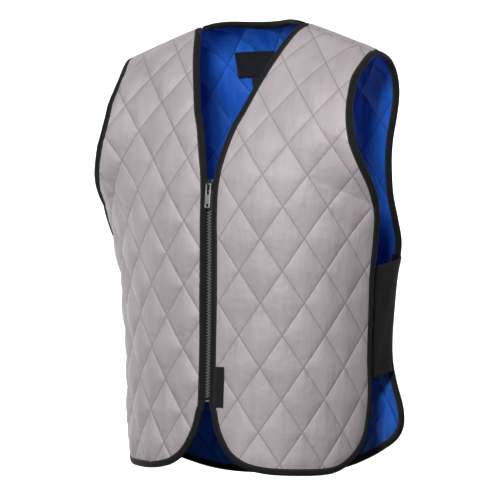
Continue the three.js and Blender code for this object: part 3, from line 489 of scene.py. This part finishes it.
def blown_up(name, bm, outline, quilt, spare, seed):
    """The simulated sheet's points, in pattern millimetres, with the rise in the third column."""
    flat = np.array([v.co for v in bm.verts])
    u, v = quilt_counts(quilt, flat)
    sewn = np.minimum(np.abs(u - np.round(u)), np.abs(v - np.round(v))) < 1e-3
    _, room = nearest_on(outline, flat[:, :2])
    held = sewn | (room < 5.0)
    rough = np.random.default_rng(seed)
    start = flat.copy()
    start[~held, 2] -= rough.uniform(0.1, 0.6, (~held).sum())
    mesh = bpy.data.meshes.new(name + "_flat")
    bm.to_mesh(mesh)
    mesh.vertices.foreach_set("co", (start * SIM_SCALE).ravel())
    sheet = bpy.data.objects.new(name + "_flat", mesh)
    bpy.context.scene.collection.objects.link(sheet)
    pins = sheet.vertex_groups.new(name="sewn")
    pins.add([int(k) for k in np.nonzero(held)[0]], 1.0, "REPLACE")
    slack = sheet.vertex_groups.new(name="slack")
    waves = rough.uniform(0, 2 * math.pi, 6)
    ease = 0.5 + 0.25 * np.sin(flat[:, 0] / 31 + waves[0]) * np.sin(flat[:, 1] / 47 + waves[1])
    ease += 0.25 * np.sin((flat[:, 0] + flat[:, 1]) / 23 + waves[2])
    for k, weight in enumerate(np.clip(ease, 0, 1)):
        slack.add([k], float(weight), "REPLACE")
    cloth = sheet.modifiers.new("quilt", "CLOTH")
    settings = cloth.settings
    settings.vertex_group_mass = "sewn"
    settings.vertex_group_shrink = "slack"
    settings.shrink_min, settings.shrink_max = -spare[0], -spare[1]
    settings.quality = 4
    settings.mass = 0.15
    settings.tension_stiffness = settings.compression_stiffness = 12
    settings.bending_stiffness = 0.08
    settings.use_pressure = True
    settings.uniform_pressure_force = 4
    settings.effector_weights.gravity = 0
    cloth.collision_settings.use_collision = False
    cloth.point_cache.frame_start, cloth.point_cache.frame_end = 1, 20
    for step in range(1, 21):
        bpy.context.scene.frame_set(step)
    shaped = sheet.evaluated_get(bpy.context.evaluated_depsgraph_get())
    points = np.empty(len(mesh.vertices) * 3)
    shaped.data.vertices.foreach_get("co", points)
    points = points.reshape(-1, 3) / SIM_SCALE
    bpy.data.objects.remove(sheet)
    bpy.context.scene.frame_set(1)
    drift = np.clip(points[:, :2] - flat[:, :2], -2.0, 2.0)
    under_tape = np.clip((room - 4.0) / 11.0, 0, 1)
    rise = np.clip(-points[:, 2], -1.0, MOST_RISE) * under_tape * (2 - under_tape)
    print(name, "points", len(flat), "rise mm: most", round(float(rise.max()), 1),
          "mean", round(float(rise.mean()), 1))
    return np.column_stack((flat[:, :2] + drift, rise))


# %% [markdown]
# The blown-up sheet is subdivided once for smooth light, and a plain copy of the flat grid
# closes it from behind, bridged along the rim, so each cloth is one closed thin body.

# %% Lay a quilted panel
SHELL_EDGE, LINING_EDGE = 1.55, 1.35


def add_map(bm, name, values):
    """Writes a UV map from one pair of numbers for each vertex."""
    layer = bm.loops.layers.uv.get(name) or bm.loops.layers.uv.new(name)
    for face in bm.faces:
        for loop in face.loops:
            loop[layer].uv = values[loop.vert.index]


def new_piece(bm, name, material, replaced, body="vest", smooth=True):
    """Links a finished bmesh as a piece that rides on a body."""
    mesh = bpy.data.meshes.new(name)
    for face in bm.faces:
        face.smooth = smooth
    bm.to_mesh(mesh)
    bm.free()
    piece = bpy.data.objects.new(name, mesh)
    bpy.context.scene.collection.objects.link(piece)
    mesh.materials.append(material)
    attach(piece, body)
    if replaced:
        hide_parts(*replaced)
    print(name, "faces", len(mesh.polygons))
    return piece


def quilted_panel(name, form, outline, quilt, sheet, flat, mirror, outward, puff, material, node):
    """One cloth of a panel: outward is 1 for the outer cloth and -1 for the lining."""
    near = SHELL_EDGE if outward > 0 else -LINING_EDGE
    height = puff if outward > 0 else 0.7 * puff
    top = sheet.copy()
    top.verts.ensure_lookup_table()
    edges = list(top.edges)
    bmesh.ops.subdivide_edges(top, edges=edges, cuts=1, use_grid_fill=True, smooth=0.9)
    top.verts.index_update()
    shape = np.array([v.co for v in top.verts])
    count = len(shape)
    rear = flat.copy()
    points = np.array([v.co for v in rear.verts])
    points[:, 2] = 0.0
    laid = form.lay(shape[:, 0], shape[:, 1], near + outward * height * shape[:, 2])
    behind = form.lay(points[:, 0], points[:, 1], outward * 0.15)
    if mirror:
        laid[:, 0] *= -1
        behind[:, 0] *= -1
    for vert, place in zip(top.verts, laid):
        vert.co = place
    for vert, place in zip(rear.verts, behind):
        vert.co = place
    keep = bpy.data.meshes.new("rear")
    rear.to_mesh(keep)
    rear.free()
    top.from_mesh(keep)
    bpy.data.meshes.remove(keep)
    top.verts.ensure_lookup_table()
    top.verts.index_update()
    rim = [e for e in top.edges if e.is_boundary]
    bmesh.ops.bridge_loops(top, edges=rim)
    bmesh.ops.recalc_face_normals(top, faces=top.faces)
    pattern_points = np.concatenate((shape[:, :2], points[:, :2]))
    u, v = quilt_counts(quilt, pattern_points)
    add_map(top, "pattern", pattern_points)
    add_map(top, "quilt", np.column_stack((u, v)))
    piece = new_piece(top, name, material, [node])
    return piece


def quilt_both(side, form, outline, quilt, mirror, spare, puff, seed):
    """The outer cloth and the lining of one panel share one simulated sheet."""
    quilt = np.array(quilt)
    flat = quilt_grid(outline, quilt)
    flat.verts.index_update()
    shape = blown_up("quilt_" + side, flat, outline, quilt, spare, seed)
    sheet = flat.copy()
    for vert, place in zip(sheet.verts, shape):
        vert.co = place
    for kind, outward, material, slot in (("shell", 1, outer_cloth, "shell"),
                                          ("lining", -1, lining_cloth, "lining")):
        quilted_panel(f"quilted_{side}_{kind}", form, outline, quilt, sheet, flat, mirror,
                      outward, puff, material, f"{side}_{kind}")
    sheet.free()
    flat.free()


quilt_both("front_left", FRONT, front_outline, (107, 122), False, (0.004, 0.03), 0.95, 3)
quilt_both("front_right", FRONT, front_outline, (100, 142), True, (0.01, 0.045), 1.5, 5)
quilt_both("back", BACK, back_outline, (-19.5, 96), False, (0.004, 0.03), 1.4, 8)

# %% [markdown]
# ## Cloth laid from a grid
# Tape, side panels and labels are plain strips. One helper makes them all: it takes a flat
# grid, asks where each point goes for its two shares from 0 to 1, and writes the millimetres
# of cloth there as the `pattern` map, so a weave keeps its size.

# %% Strips from a grid
def strip(columns, rows, place, tube=False):
    bm = bmesh.new()
    bmesh.ops.create_grid(bm, x_segments=columns, y_segments=rows, size=0.5)
    share = np.array([v.co[:2] for v in bm.verts]) + 0.5
    points, maps = place(share[:, 0], share[:, 1])
    bm.verts.index_update()
    add_map(bm, "pattern", maps)
    for vert, point in zip(bm.verts, points):
        vert.co = point
    if tube:
        bmesh.ops.remove_doubles(bm, verts=bm.verts, dist=1e-6)
        bmesh.ops.holes_fill(bm, edges=[e for e in bm.edges if e.is_boundary], sides=0)
    bmesh.ops.recalc_face_normals(bm, faces=bm.faces)
    return bm


# %% [markdown]
# ## Black tapes and knits
# The binding is a matte ribbed tape with a row of lockstitch near its inner edge. The side
# panels are a fine stretch knit, darkened nearly to black toward the back edge as painted shade,
# and the labels a dense satin weave with a bare face.

# %% Black finishes
def black_tape(name, tone, rib, stitch_at=None, roughness=0.86, painted_shade_from=None):
    material, shader = finish(name, roughness, Sheen_Weight=0.06, Sheen_Roughness=0.45,
                              Specular_IOR_Level=0.2)
    along, across = pattern("pattern")
    ribs = along.wave(rib)
    yarn = across.wave(0.7)
    fuzz = cloud(along, across, (0.9, 0.9), 3.0)
    wear = cloud(along, across, (0.05, 0.11), 2.0, 3.0)
    shade = ribs * 0.35 + fuzz * 0.4 + wear * 0.25
    colour = blend(shade.fade(0.3, 0.75), [1.45 * c for c in tone[:3]] + [1],
                   [0.62 * c for c in tone[:3]] + [1])
    height = ribs * 0.1 + yarn * 0.03 + fuzz * 0.06 + wear * 0.25
    if stitch_at is not None:
        off = (across - stitch_at).maths("ABSOLUTE")
        dash = (along * (1 / STITCH)).maths("FRACT") < 0.78
        seam = off.fade(0.3, 0.6) * dash
        colour = blend(seam * 0.8, colour, (0.055, 0.055, 0.058, 1))
        height = height + seam * 0.25 - off.fade(0.5, 1.6) * 0.3
    # Beyond this many hundredths of the width, toward the back, the knit is painted nearly black:
    # painted shade under the back's binding.
    if painted_shade_from is not None:
        colour = blend(along.fade(painted_shade_from, painted_shade_from + 5.0), (0.002, 0.002, 0.0022), colour)
    wire(shader, colour, height, fuzz * 0.1 + (roughness - 0.05))
    return material


binding_tape = black_tape("binding_tape", (0.0115, 0.0115, 0.012), 0.9, stitch_at=7.9)
zip_tape = black_tape("zip_tape", (0.008, 0.008, 0.009), 1.1)
# From 72 hundredths of their width on, toward the back, the side panels are darkened nearly to
# black: painted shade.
stretch_knit = black_tape("stretch_knit", (0.0135, 0.0135, 0.0135), 1.3, roughness=0.92,
                          painted_shade_from=72.0)
label_weave = black_tape("label_weave", (0.009, 0.009, 0.011), 0.5, roughness=0.62)
print("black finishes made")

# %% [markdown]
# ## Binding
# The tape is folded over the cut edge and sewn through, so it is a flattened U. It could be a
# curve with a bevel shape, but a curve can't keep its U square to a curved cloth. A strip that
# runs along the edge and round the U does, and it can ripple a little between stitches.

# %% Binding round every edge
FOLD = np.array([
    (9.5, 2.15), (9.35, 2.75), (8.6, 2.95), (7.9, 2.8), (7.0, 3.05), (5.2, 3.2), (3.2, 3.1),
    (1.5, 2.7), (0.4, 1.9), (0.0, 0.8), (0.0, -1.0), (0.4, -2.5), (1.5, -3.3), (3.2, -3.6),
    (5.2, -3.6), (7.0, -3.4), (7.9, -3.2), (8.6, -3.3), (9.35, -3.0), (9.5, -2.4),
    (9.2, -2.2), (6.0, -2.5), (2.4, -2.4), (1.2, -1.2), (1.2, 1.2), (2.4, 2.3), (6.0, 2.3),
    (9.2, 1.95),
])


def binding(name, form, edge, mirror, node, inner=1.0):
    inward = ways_in(edge)
    along = np.concatenate(([0], np.cumsum(np.linalg.norm(np.diff(edge, axis=0), axis=1))))
    fold = np.concatenate((FOLD, FOLD[:1]))

    def place(x, y):
        i = np.round(x * (len(edge) - 1)).astype(int)
        j = np.round(y * (len(fold) - 1)).astype(int) % len(FOLD)
        width, rise = fold[j].T
        width = np.where(rise < 0, width * inner, width)
        at = along[i]
        ripple = 0.16 * np.sin(at / 1.9) * np.sin(at / 23) + 0.22 * np.sin(at / 17 + 1)
        slack = np.clip(width / 6.0, 0, 1)
        rise = rise + ripple * slack * np.where(rise > 0, 1, 0.4)
        width = width + 0.25 * np.sin(at / 29) * (width > 6)
        s = edge[i, 0] + inward[i, 0] * width
        t = edge[i, 1] + inward[i, 1] * width
        points = form.lay(s, t, rise)
        if mirror:
            points[:, 0] *= -1
        return points, np.column_stack((at, width))

    bm = strip(len(edge) - 1, len(FOLD), place, tube=True)
    return new_piece(bm, name, binding_tape, [node])


binding("tape_front_left", FRONT, front_edge, False, "front_left_binding")
binding("tape_front_right", FRONT, front_edge, True, "front_right_binding")
binding("tape_back", BACK, back_edge, False, "back_binding")
binding("tape_back_neck", BACK, neck_edge, False, "back_neck_binding", inner=1.4)

# %% [markdown]
# ## Shoulder seams
# Front and back are sewn together along the shoulders and the seam is pressed forwards and
# topstitched. A narrow lapped strip of the outer cloth stands for it.

# %% Shoulder seams
seam_cloth = outer_cloth.copy()
seam_cloth.name = "seam_cloth"


def shoulder_seam(name, mirror, outward, material):
    """A strip from behind the seam to in front of it."""
    inner, outer = NECK_HALF + 7.5, SHOULDER_HALF - 7.5
    level = SHELL_EDGE if outward > 0 else LINING_EDGE

    def place(x, y):
        s = inner + (outer - inner) * x
        down = ridge_drop(s) + 0.6
        over = (y - 0.5) * 13.0
        crown = 0.5 + 1.3 * (1 - (2 * y - 1) ** 2) ** 0.5
        ahead = FRONT.lay(s, down + np.maximum(over, 0), outward * (level + crown))
        behind = BACK.lay(s, down + np.maximum(-over, 0), outward * (level + crown))
        share = np.clip(over / 3.0 + 0.5, 0, 1)[:, None]
        share = share * share * (3 - 2 * share)
        points = behind * (1 - share) + ahead * share
        if mirror:
            points[:, 0] *= -1
        return points, np.column_stack((s, over))

    bm = strip(60, 16, place)
    bmesh.ops.solidify(bm, geom=bm.faces[:], thickness=0.0008 * outward)
    bmesh.ops.recalc_face_normals(bm, faces=bm.faces)
    for face in bm.faces:
        for loop in face.loops:
            loop[bm.loops.layers.uv["pattern"]].uv.y += 40
    quilt = bm.loops.layers.uv.new("quilt")
    for face in bm.faces:
        for loop in face.loops:
            at = loop[bm.loops.layers.uv["pattern"]].uv
            loop[quilt].uv = ((at.y - 45.2) / ROW_GAP, at.x / RUN)
    return new_piece(bm, name, material, [])


for side, mirror in (("left", False), ("right", True)):
    shoulder_seam(f"shoulder_seam_{side}", mirror, 1, seam_cloth)

# %% [markdown]
# ## Side panels
# Below each armhole a stretch knit panel spans from behind the front's edge to behind the
# back's. It hangs as a soft bow, with a folded hem above and below. It is one strip whose rows
# follow that bow.

# %% Side panels
SIDE_TOP, SIDE_HEIGHT, SIDE_TUCK = 372.0, 158.0, 11.0


def edge_across(edge, t):
    """Where a panel's side edge stands at a height down the pattern."""
    run = edge[(edge[:, 0] > SHOULDER_HALF / 2) & (edge[:, 1] > 300)]
    run = run[run[:, 1] < 640]
    order = np.argsort(run[:, 1])
    return float(np.interp(t, run[order, 1], run[order, 0]))


def side_row(t):
    """Points across the side panel at one height, front tuck first."""
    rows = [FRONT.lay([edge_across(front_edge, t) - inset], [t], -4.65)[0]
            for inset in (SIDE_TUCK, 0)]
    rows += [BACK.lay([edge_across(back_edge, t) - inset], [t], -4.65)[0]
             for inset in (0, SIDE_TUCK)]
    tuck, front, back, back_tuck = rows
    pull = np.linalg.norm(back - front) * 0.38
    leave = front + (front - tuck) / np.linalg.norm(front - tuck) * pull
    arrive = back + (back - back_tuck) / np.linalg.norm(back - back_tuck) * pull
    u = np.linspace(0, 1, 40)[:, None]
    bow = ((1 - u) ** 3 * front + 3 * (1 - u) ** 2 * u * leave
           + 3 * (1 - u) * u**2 * arrive + u**3 * back)
    return np.concatenate(([tuck], bow, [back_tuck]))


def side_panel(name, mirror, node):
    columns, rows = 52, 60
    runs = []
    for j in range(rows + 1):
        row = side_row(SIDE_TOP + SIDE_HEIGHT * j / rows)
        along = np.concatenate(([0], np.cumsum(np.linalg.norm(np.diff(row, axis=0), axis=1))))
        even = np.linspace(0, along[-1], columns + 1)
        runs.append(np.stack([np.interp(even, along, row[:, k]) for k in range(3)], 1))
    runs = np.array(runs)

    def place(x, y):
        i = np.round(x * columns).astype(int)
        j = np.round(y * rows).astype(int)
        points = runs[j, i].copy()
        free = np.sin(math.pi * np.clip((x - 0.1) / 0.8, 0, 1))
        hem = np.minimum(y, 1 - y) * SIDE_HEIGHT
        fold = 0.35 * (hem < 12) - 0.25 * np.exp(-((hem - 12) / 1.4) ** 2)
        soft = 1.1 * np.sin(y * 9 + x * 5) * np.sin(x * 11 - y * 3) + fold
        centre = points[:, :2] - np.array([0.15, 0.005])
        out = centre / np.linalg.norm(centre, axis=1, keepdims=True)
        points[:, :2] += out * (soft * free * MM)[:, None]
        points[:, 2] -= (1 - x) * 8.0 * MM
        if mirror:
            points[:, 0] *= -1
        return points, np.column_stack((x * 100, y * SIDE_HEIGHT))

    bm = strip(columns, rows, place)
    bmesh.ops.solidify(bm, geom=bm.faces[:], thickness=0.0011)
    bmesh.ops.recalc_face_normals(bm, faces=bm.faces)
    piece = new_piece(bm, name, stretch_knit, [node])
    return piece


side_panel("knit_side_left", False, "side_panel_left")
side_panel("knit_side_right", True, "side_panel_right")

# %% [markdown]
# ## Zip tapes and teeth
# The zip is sewn behind the bound edges. Its teeth are moulded one by one on each tape and mesh
# with those of the other side, half a pitch apart. One tooth is modelled, with a foot on the
# tape and a head past the middle, and copied down both sides.

# %% Zip tapes
CHAIN_LEVEL = -0.6
CHAIN_HALF, PITCH = 3.15, 4.2
HEAD_AT = ZIP_TOP + 7.5


def zip_side(name, mirror, node):
    def place(x, y):
        s = 0.6 + 17.0 * x
        t = ZIP_TOP + 15.7 + (ZIP_BOTTOM - ZIP_TOP - 15.7) * y
        rise = 2.1 * np.exp(-(np.maximum(s - 2.6, 0) / 1.2) ** 2)
        points = FRONT.lay(s, t, -4.75 + rise)
        if mirror:
            points[:, 0] *= -1
        return points, np.column_stack((t, s))

    bm = strip(17, 90, place)
    bmesh.ops.solidify(bm, geom=bm.faces[:], thickness=0.0009)
    bmesh.ops.recalc_face_normals(bm, faces=bm.faces)
    return new_piece(bm, name, zip_tape, [node])


zip_side("zip_strip_left", False, "zip_tape_left")
zip_side("zip_strip_right", True, "zip_tape_right")


# %% Zip teeth
def glossy(name, tone, roughness, coat, metallic=0.0, grain=0.05, **fixed):
    """Moulded plastic or metal with faint handling marks."""
    material, shader = finish(name, roughness, Coat_Weight=coat, Coat_Roughness=0.12,
                              Metallic=metallic, **fixed)
    place = Thread.node("ShaderNodeTexCoord", None, None, 3)
    marks = Thread.node("ShaderNodeTexNoise", None,
                        {"Vector": place, "Scale": 900.0, "Detail": 3.0})
    patch = Thread.node("ShaderNodeTexNoise", None,
                        {"Vector": place, "Scale": 140.0, "Detail": 2.0})
    colour = blend(marks * 0.35 + patch * 0.3, tone, [0.72 * c for c in tone[:3]] + [1])
    wire(shader, colour, marks * grain, patch * 0.16 + (roughness - 0.06))
    return material


# The teeth are black plastic; their colour is raised to mid grey so that they show as lit glints: a
# painted highlight.
tooth_plastic_painted_glint = glossy("tooth_plastic_painted_glint", (0.24, 0.24, 0.25, 1), 0.2, 1.0)


def one_tooth():
    bm = bmesh.new()
    bmesh.ops.create_cube(bm, size=1.0)
    bmesh.ops.scale(bm, vec=(4.5, 1.65, 3.1), verts=bm.verts)
    bmesh.ops.translate(bm, vec=(1.25, 0, 0), verts=bm.verts)
    waist = bmesh.ops.bisect_plane(bm, geom=[*bm.verts, *bm.edges, *bm.faces],
                                   plane_co=(0.55, 0, 0), plane_no=(1, 0, 0))["geom_cut"]
    middle = [v for v in waist if isinstance(v, bmesh.types.BMVert)]
    bmesh.ops.scale(bm, vec=(1, 0.74, 0.9), verts=middle)
    bmesh.ops.bevel(bm, geom=bm.edges[:], offset=0.38, segments=2, profile=0.5,
                    affect="EDGES", material=-1)
    mesh = bpy.data.meshes.new("tooth")
    bm.to_mesh(mesh)
    bm.free()
    return mesh


def stand_on(form, s, t, n):
    """The turn and place of something that sits square to the cloth: x across, y up, z out."""
    at = form.lay([s], [t], n)[0]
    out = Vector(form.normal(np.array([float(s)]), np.array([float(t)]))[0])
    across = Vector((1, 0, 0))
    up = out.cross(across).normalized()
    across = up.cross(out)
    return Matrix((
        (*[across[0], up[0], out[0]], at[0]), (*[across[1], up[1], out[1]], at[1]),
        (*[across[2], up[2], out[2]], at[2]), (0, 0, 0, 1)))


def zip_teeth():
    tooth = one_tooth()
    chain = bmesh.new()
    count = int((ZIP_BOTTOM - HEAD_AT - 4) / PITCH)
    for k in range(count):
        for side in (1, -1):
            t = HEAD_AT + 3 + PITCH * (k + (0.5 if side < 0 else 0))
            place = stand_on(FRONT, 0, t, CHAIN_LEVEL) @ Matrix.Diagonal((side * MM, MM, MM, 1))
            before = len(chain.verts)
            chain.from_mesh(tooth)
            chain.verts.ensure_lookup_table()
            bmesh.ops.transform(chain, matrix=place, verts=chain.verts[before:])
    stop = bmesh.ops.create_cube(chain, size=1.0)["verts"]
    place = stand_on(FRONT, 0, ZIP_BOTTOM - 1.5, CHAIN_LEVEL) @ Matrix.Diagonal(
        (5.6 * MM, 2.4 * MM, 2.6 * MM, 1))
    bmesh.ops.transform(chain, matrix=place, verts=stop)
    bmesh.ops.bevel(chain, geom=list({e for v in stop for e in v.link_edges}), offset=0.0006,
                    segments=2, profile=0.5, affect="EDGES", material=-1)
    bmesh.ops.recalc_face_normals(chain, faces=chain.faces)
    bpy.data.meshes.remove(tooth)
    return new_piece(chain, "zip_teeth", tooth_plastic_painted_glint, ["zip_chain"])


zip_teeth()

# %% [markdown]
# ## Slider and pull
# The slider is two enamelled plates joined by a post, with a bridge on top that holds the pull.
# The pull is a silver plate with a long slot round the bridge and a square hole at its end. Both
# are built in the slider's own frame, x across, y up the zip and z out of the cloth.

# %% Slider
slider_enamel = glossy("slider_enamel", (0.012, 0.012, 0.013, 1), 0.34, 0.5, 0.0)
HEAD_FRAME = stand_on(FRONT, 0, HEAD_AT, 0)
PLATE_TOP, BRIDGE_TOP, PULL_LEVEL = 2.55, 8.75, 5.9


def block(bm, size, at, offset):
    """A bevelled block, in the slider's own millimetres."""
    verts = bmesh.ops.create_cube(bm, size=1.0)["verts"]
    bmesh.ops.scale(bm, vec=size, verts=verts)
    bmesh.ops.translate(bm, vec=at, verts=verts)
    edges = list({e for v in verts for e in v.link_edges})
    made = bmesh.ops.bevel(bm, geom=edges, offset=offset, segments=3, profile=0.5,
                           affect="EDGES", material=-1)
    return list({v for f in made["faces"] for v in f.verts} | {v for v in verts if v.is_valid})


def slider():
    bm = bmesh.new()
    for level in (PLATE_TOP - 0.6, CHAIN_LEVEL * 2 - PLATE_TOP + 0.6):
        verts = block(bm, (7.3, 15.0, 1.2), (0, 0, level), 0.45)
        for vert in verts:
            vert.co.x *= 1.0 + 0.012 * vert.co.y
            vert.co.y -= 0.02 * vert.co.x**2 * (1 if vert.co.y < 0 else -0.3)
    for side in (-1, 1):
        block(bm, (0.9, 12.5, 1.6), (side * 3.25, -0.8, PLATE_TOP - 1.2), 0.3)
    block(bm, (3.6, 5.5, 5.2), (0, 4.4, CHAIN_LEVEL), 0.5)
    arch = bmesh.ops.create_grid(bm, x_segments=2, y_segments=24, size=0.5)["verts"]
    for vert in arch:
        turn = math.pi * (vert.co.y + 0.5)
        rise = math.sin(turn) ** 0.45
        vert.co = (vert.co.x * 2.6, -math.cos(turn) * 4.4,
                   PLATE_TOP - 0.4 + (BRIDGE_TOP - 0.1 - PLATE_TOP + 0.4) * rise)
    faces = list({f for v in arch for f in v.link_faces})
    bmesh.ops.solidify(bm, geom=faces, thickness=1.2)
    bmesh.ops.recalc_face_normals(bm, faces=bm.faces)
    bmesh.ops.transform(bm, matrix=HEAD_FRAME @ Matrix.Diagonal((MM, MM, MM, 1)), verts=bm.verts)
    return new_piece(bm, "slider", slider_enamel, ["zip_slider"])


slider()

# %% [markdown]
# The pull starts as a grid whose lines stand where its slot and hole begin. The faces there are
# taken out, the rest gets its thickness, and its edges are rounded.

# %% Pull
pull_silver = glossy("pull_silver", (0.78, 0.79, 0.81, 1), 0.36, 0.0, 1.0, grain=0.03)


def pull():
    bm = bmesh.new()
    columns = [-3.9, -2.25, -1.8, 1.8, 2.25, 3.9]
    rows = [0.95, -0.95, -8.0, -14.95, -25.5, -27.55, -31.15, -33.05]
    bmesh.ops.create_grid(bm, x_segments=5, y_segments=7, size=0.5)
    for vert in bm.verts:
        i, j = round((vert.co.x + 0.5) * 5), round((0.5 - vert.co.y) * 7)
        vert.co = (columns[i], rows[j], -0.8)
    middles = [(f, f.calc_center_median()) for f in bm.faces]
    openings = [f for f, at in middles if (abs(at.x) < 2.2 and -15 < at.y < -1)
                or (abs(at.x) < 1 and -31 < at.y < -28)]
    bmesh.ops.delete(bm, geom=openings, context="FACES")
    corners = [v for v in bm.verts if abs(v.co.x) > 3 and (v.co.y < -33 or v.co.y > 0.9)]
    bmesh.ops.bevel(bm, geom=corners, offset=1.3, segments=4, profile=0.5, affect="VERTICES",
                    material=-1)
    made = bmesh.ops.extrude_face_region(bm, geom=bm.faces[:])["geom"]
    bmesh.ops.translate(bm, vec=(0, 0, 1.6), verts=[g for g in made
                                                    if isinstance(g, bmesh.types.BMVert)])
    bmesh.ops.recalc_face_normals(bm, faces=bm.faces)
    sharp = [e for e in bm.edges if len(e.link_faces) == 2 and e.calc_face_angle() > 1.2]
    bmesh.ops.bevel(bm, geom=sharp, offset=0.22, segments=3, profile=0.5, affect="EDGES",
                    material=-1)
    bmesh.ops.transform(bm, matrix=HEAD_FRAME @ Matrix.Translation((0, 0, PULL_LEVEL * MM))
                        @ Matrix.Diagonal((MM, MM, MM, 1)), verts=bm.verts)
    return new_piece(bm, "pull_tab", pull_silver, ["zip_pull"], body="pull")


pull()

# %% [markdown]
# ## Labels
# Three small woven labels with bare faces: one sewn inside the back of the neck, a small tab
# under it, and a flag folded into the front binding near the hem. Each is a strip with a
# slightly raised, softly curled edge.

# %% Labels
def label(name, form, s_range, t_range, level, node, curl=0.5, lift=0.0):
    width, height = s_range[1] - s_range[0], t_range[1] - t_range[0]

    def place(x, y):
        s = s_range[0] + width * x
        t = t_range[0] + height * y
        rim = np.minimum(np.minimum(x, 1 - x) * width, np.minimum(y, 1 - y) * height)
        n = level + lift * x + 0.25 * np.exp(-(rim / 1.1) ** 2)
        n += curl * np.sin(x * 5 + y * 2.4) * 0.25
        return form.lay(s, t, n), np.column_stack((s, t))

    bm = strip(max(8, int(width / 1.2)), max(8, int(height / 1.2)), place)
    bmesh.ops.solidify(bm, geom=bm.faces[:], thickness=0.0006)
    bmesh.ops.recalc_face_normals(bm, faces=bm.faces)
    piece = new_piece(bm, name, label_weave, [node])
    return piece


LABEL_LEVEL = -5.3
label("label_neck", BACK, (-66, -4), (75, 115), LABEL_LEVEL, "neck_label")
label("label_size", BACK, (-44.5, -25.5), (115.3, 129.3), LABEL_LEVEL, "size_tab", curl=0.2)
label("label_flag", FRONT, (13.8, 27.0), (515, 570), 3.3, "flag_label", curl=0.6, lift=1.6)

# %% [markdown]
# ## Camera, floor and light
# The photograph was taken from the wearer's left at chest height with a long lens. The backdrop
# is a pale floor that curves up behind the vest, and large soft lights stand in for a studio:
# a broad key from the front and left, a fill, and two lights on the backdrop.

# %% Camera
TARGET = Vector((0, 0, -0.29))
DISTANCE = 3.2
AZIMUTH, RISE = math.radians(27), math.radians(1.4)
towards = Vector((math.sin(AZIMUTH) * math.cos(RISE), -math.cos(AZIMUTH) * math.cos(RISE),
                  math.sin(RISE)))
lens = bpy.data.cameras.new("camera")
lens.sensor_width = 36
lens.lens = 36 * (DISTANCE / 0.00142) / 500
lens.shift_x = -4 / 500
camera = bpy.data.objects.new("camera", lens)
bpy.context.scene.collection.objects.link(camera)
camera.location = TARGET + towards * DISTANCE
camera.rotation_mode = "QUATERNION"
camera.rotation_quaternion = (-towards).to_track_quat("-Z", "Y")
bpy.context.scene.camera = camera
print("lens mm:", round(lens.lens, 1))


# %% Floor and backdrop
def backdrop():
    bm = bmesh.new()
    bmesh.ops.create_grid(bm, x_segments=2, y_segments=60, size=0.5)
    bend = 1.6
    for vert in bm.verts:
        run = (vert.co.y + 0.5) * 9.0 + 0.3
        y, z = run, 0.0
        if run > 2.0:
            turn = min((run - 2.0) / bend, math.pi / 2)
            y = 2.0 + bend * math.sin(turn)
            z = bend * (1 - math.cos(turn)) + max(run - 2.0 - bend * math.pi / 2, 0)
        vert.co = (vert.co.x * 14.0, y, z - 0.78)
    bmesh.ops.recalc_face_normals(bm, faces=bm.faces)
    mesh = bpy.data.meshes.new("backdrop")
    for face in bm.faces:
        face.smooth = True
    bm.to_mesh(mesh)
    bm.free()
    sweep = bpy.data.objects.new("backdrop", mesh)
    bpy.context.scene.collection.objects.link(sweep)
    turned = Matrix.Rotation(AZIMUTH, 4, "Z")
    mesh.transform(turned)
    material, shader = finish("backdrop_paper", 0.9, Specular_IOR_Level=0.1)
    shader.inputs["Base Color"].default_value = (0.9, 0.9, 0.9, 1)
    mesh.materials.append(material)


backdrop()


# %% Lights
def soft_light(name, at, size, power, aim=(0, 0, -0.3), colour=(1, 1, 1)):
    light = bpy.data.lights.new(name, "AREA")
    light.color = colour
    light.shape, light.size, light.size_y, light.energy = "RECTANGLE", size[0], size[1], power
    lamp = bpy.data.objects.new(name, light)
    bpy.context.scene.collection.objects.link(lamp)
    lamp.location = at
    lamp.rotation_mode = "QUATERNION"
    lamp.rotation_quaternion = (Vector(aim) - Vector(at)).to_track_quat("-Z", "Y")


soft_light("key", (0.65, -2.45, 1.0), (0.7, 0.7), 74)
soft_light("fill", (-2.4, -1.4, -0.2), (1.2, 1.2), 2, colour=(0.72, 0.83, 1.0))
soft_light("paper_left", (-1.92, -0.64, 0.35), (1.6, 2.2), 190, (-2.65, 0.78, 0.3))
soft_light("paper_right", (1.64, 1.18, 0.35), (1.6, 2.2), 190, (0.91, 2.6, 0.3))
world = bpy.data.worlds.new("studio")
world.use_nodes = True
world.node_tree.nodes["Background"].inputs["Color"].default_value = (1, 1, 1, 1)
world.node_tree.nodes["Background"].inputs["Strength"].default_value = 0.05
bpy.context.scene.world = world
bpy.context.scene.view_settings.view_transform = "Standard"
bpy.context.scene.view_settings.look = "None"
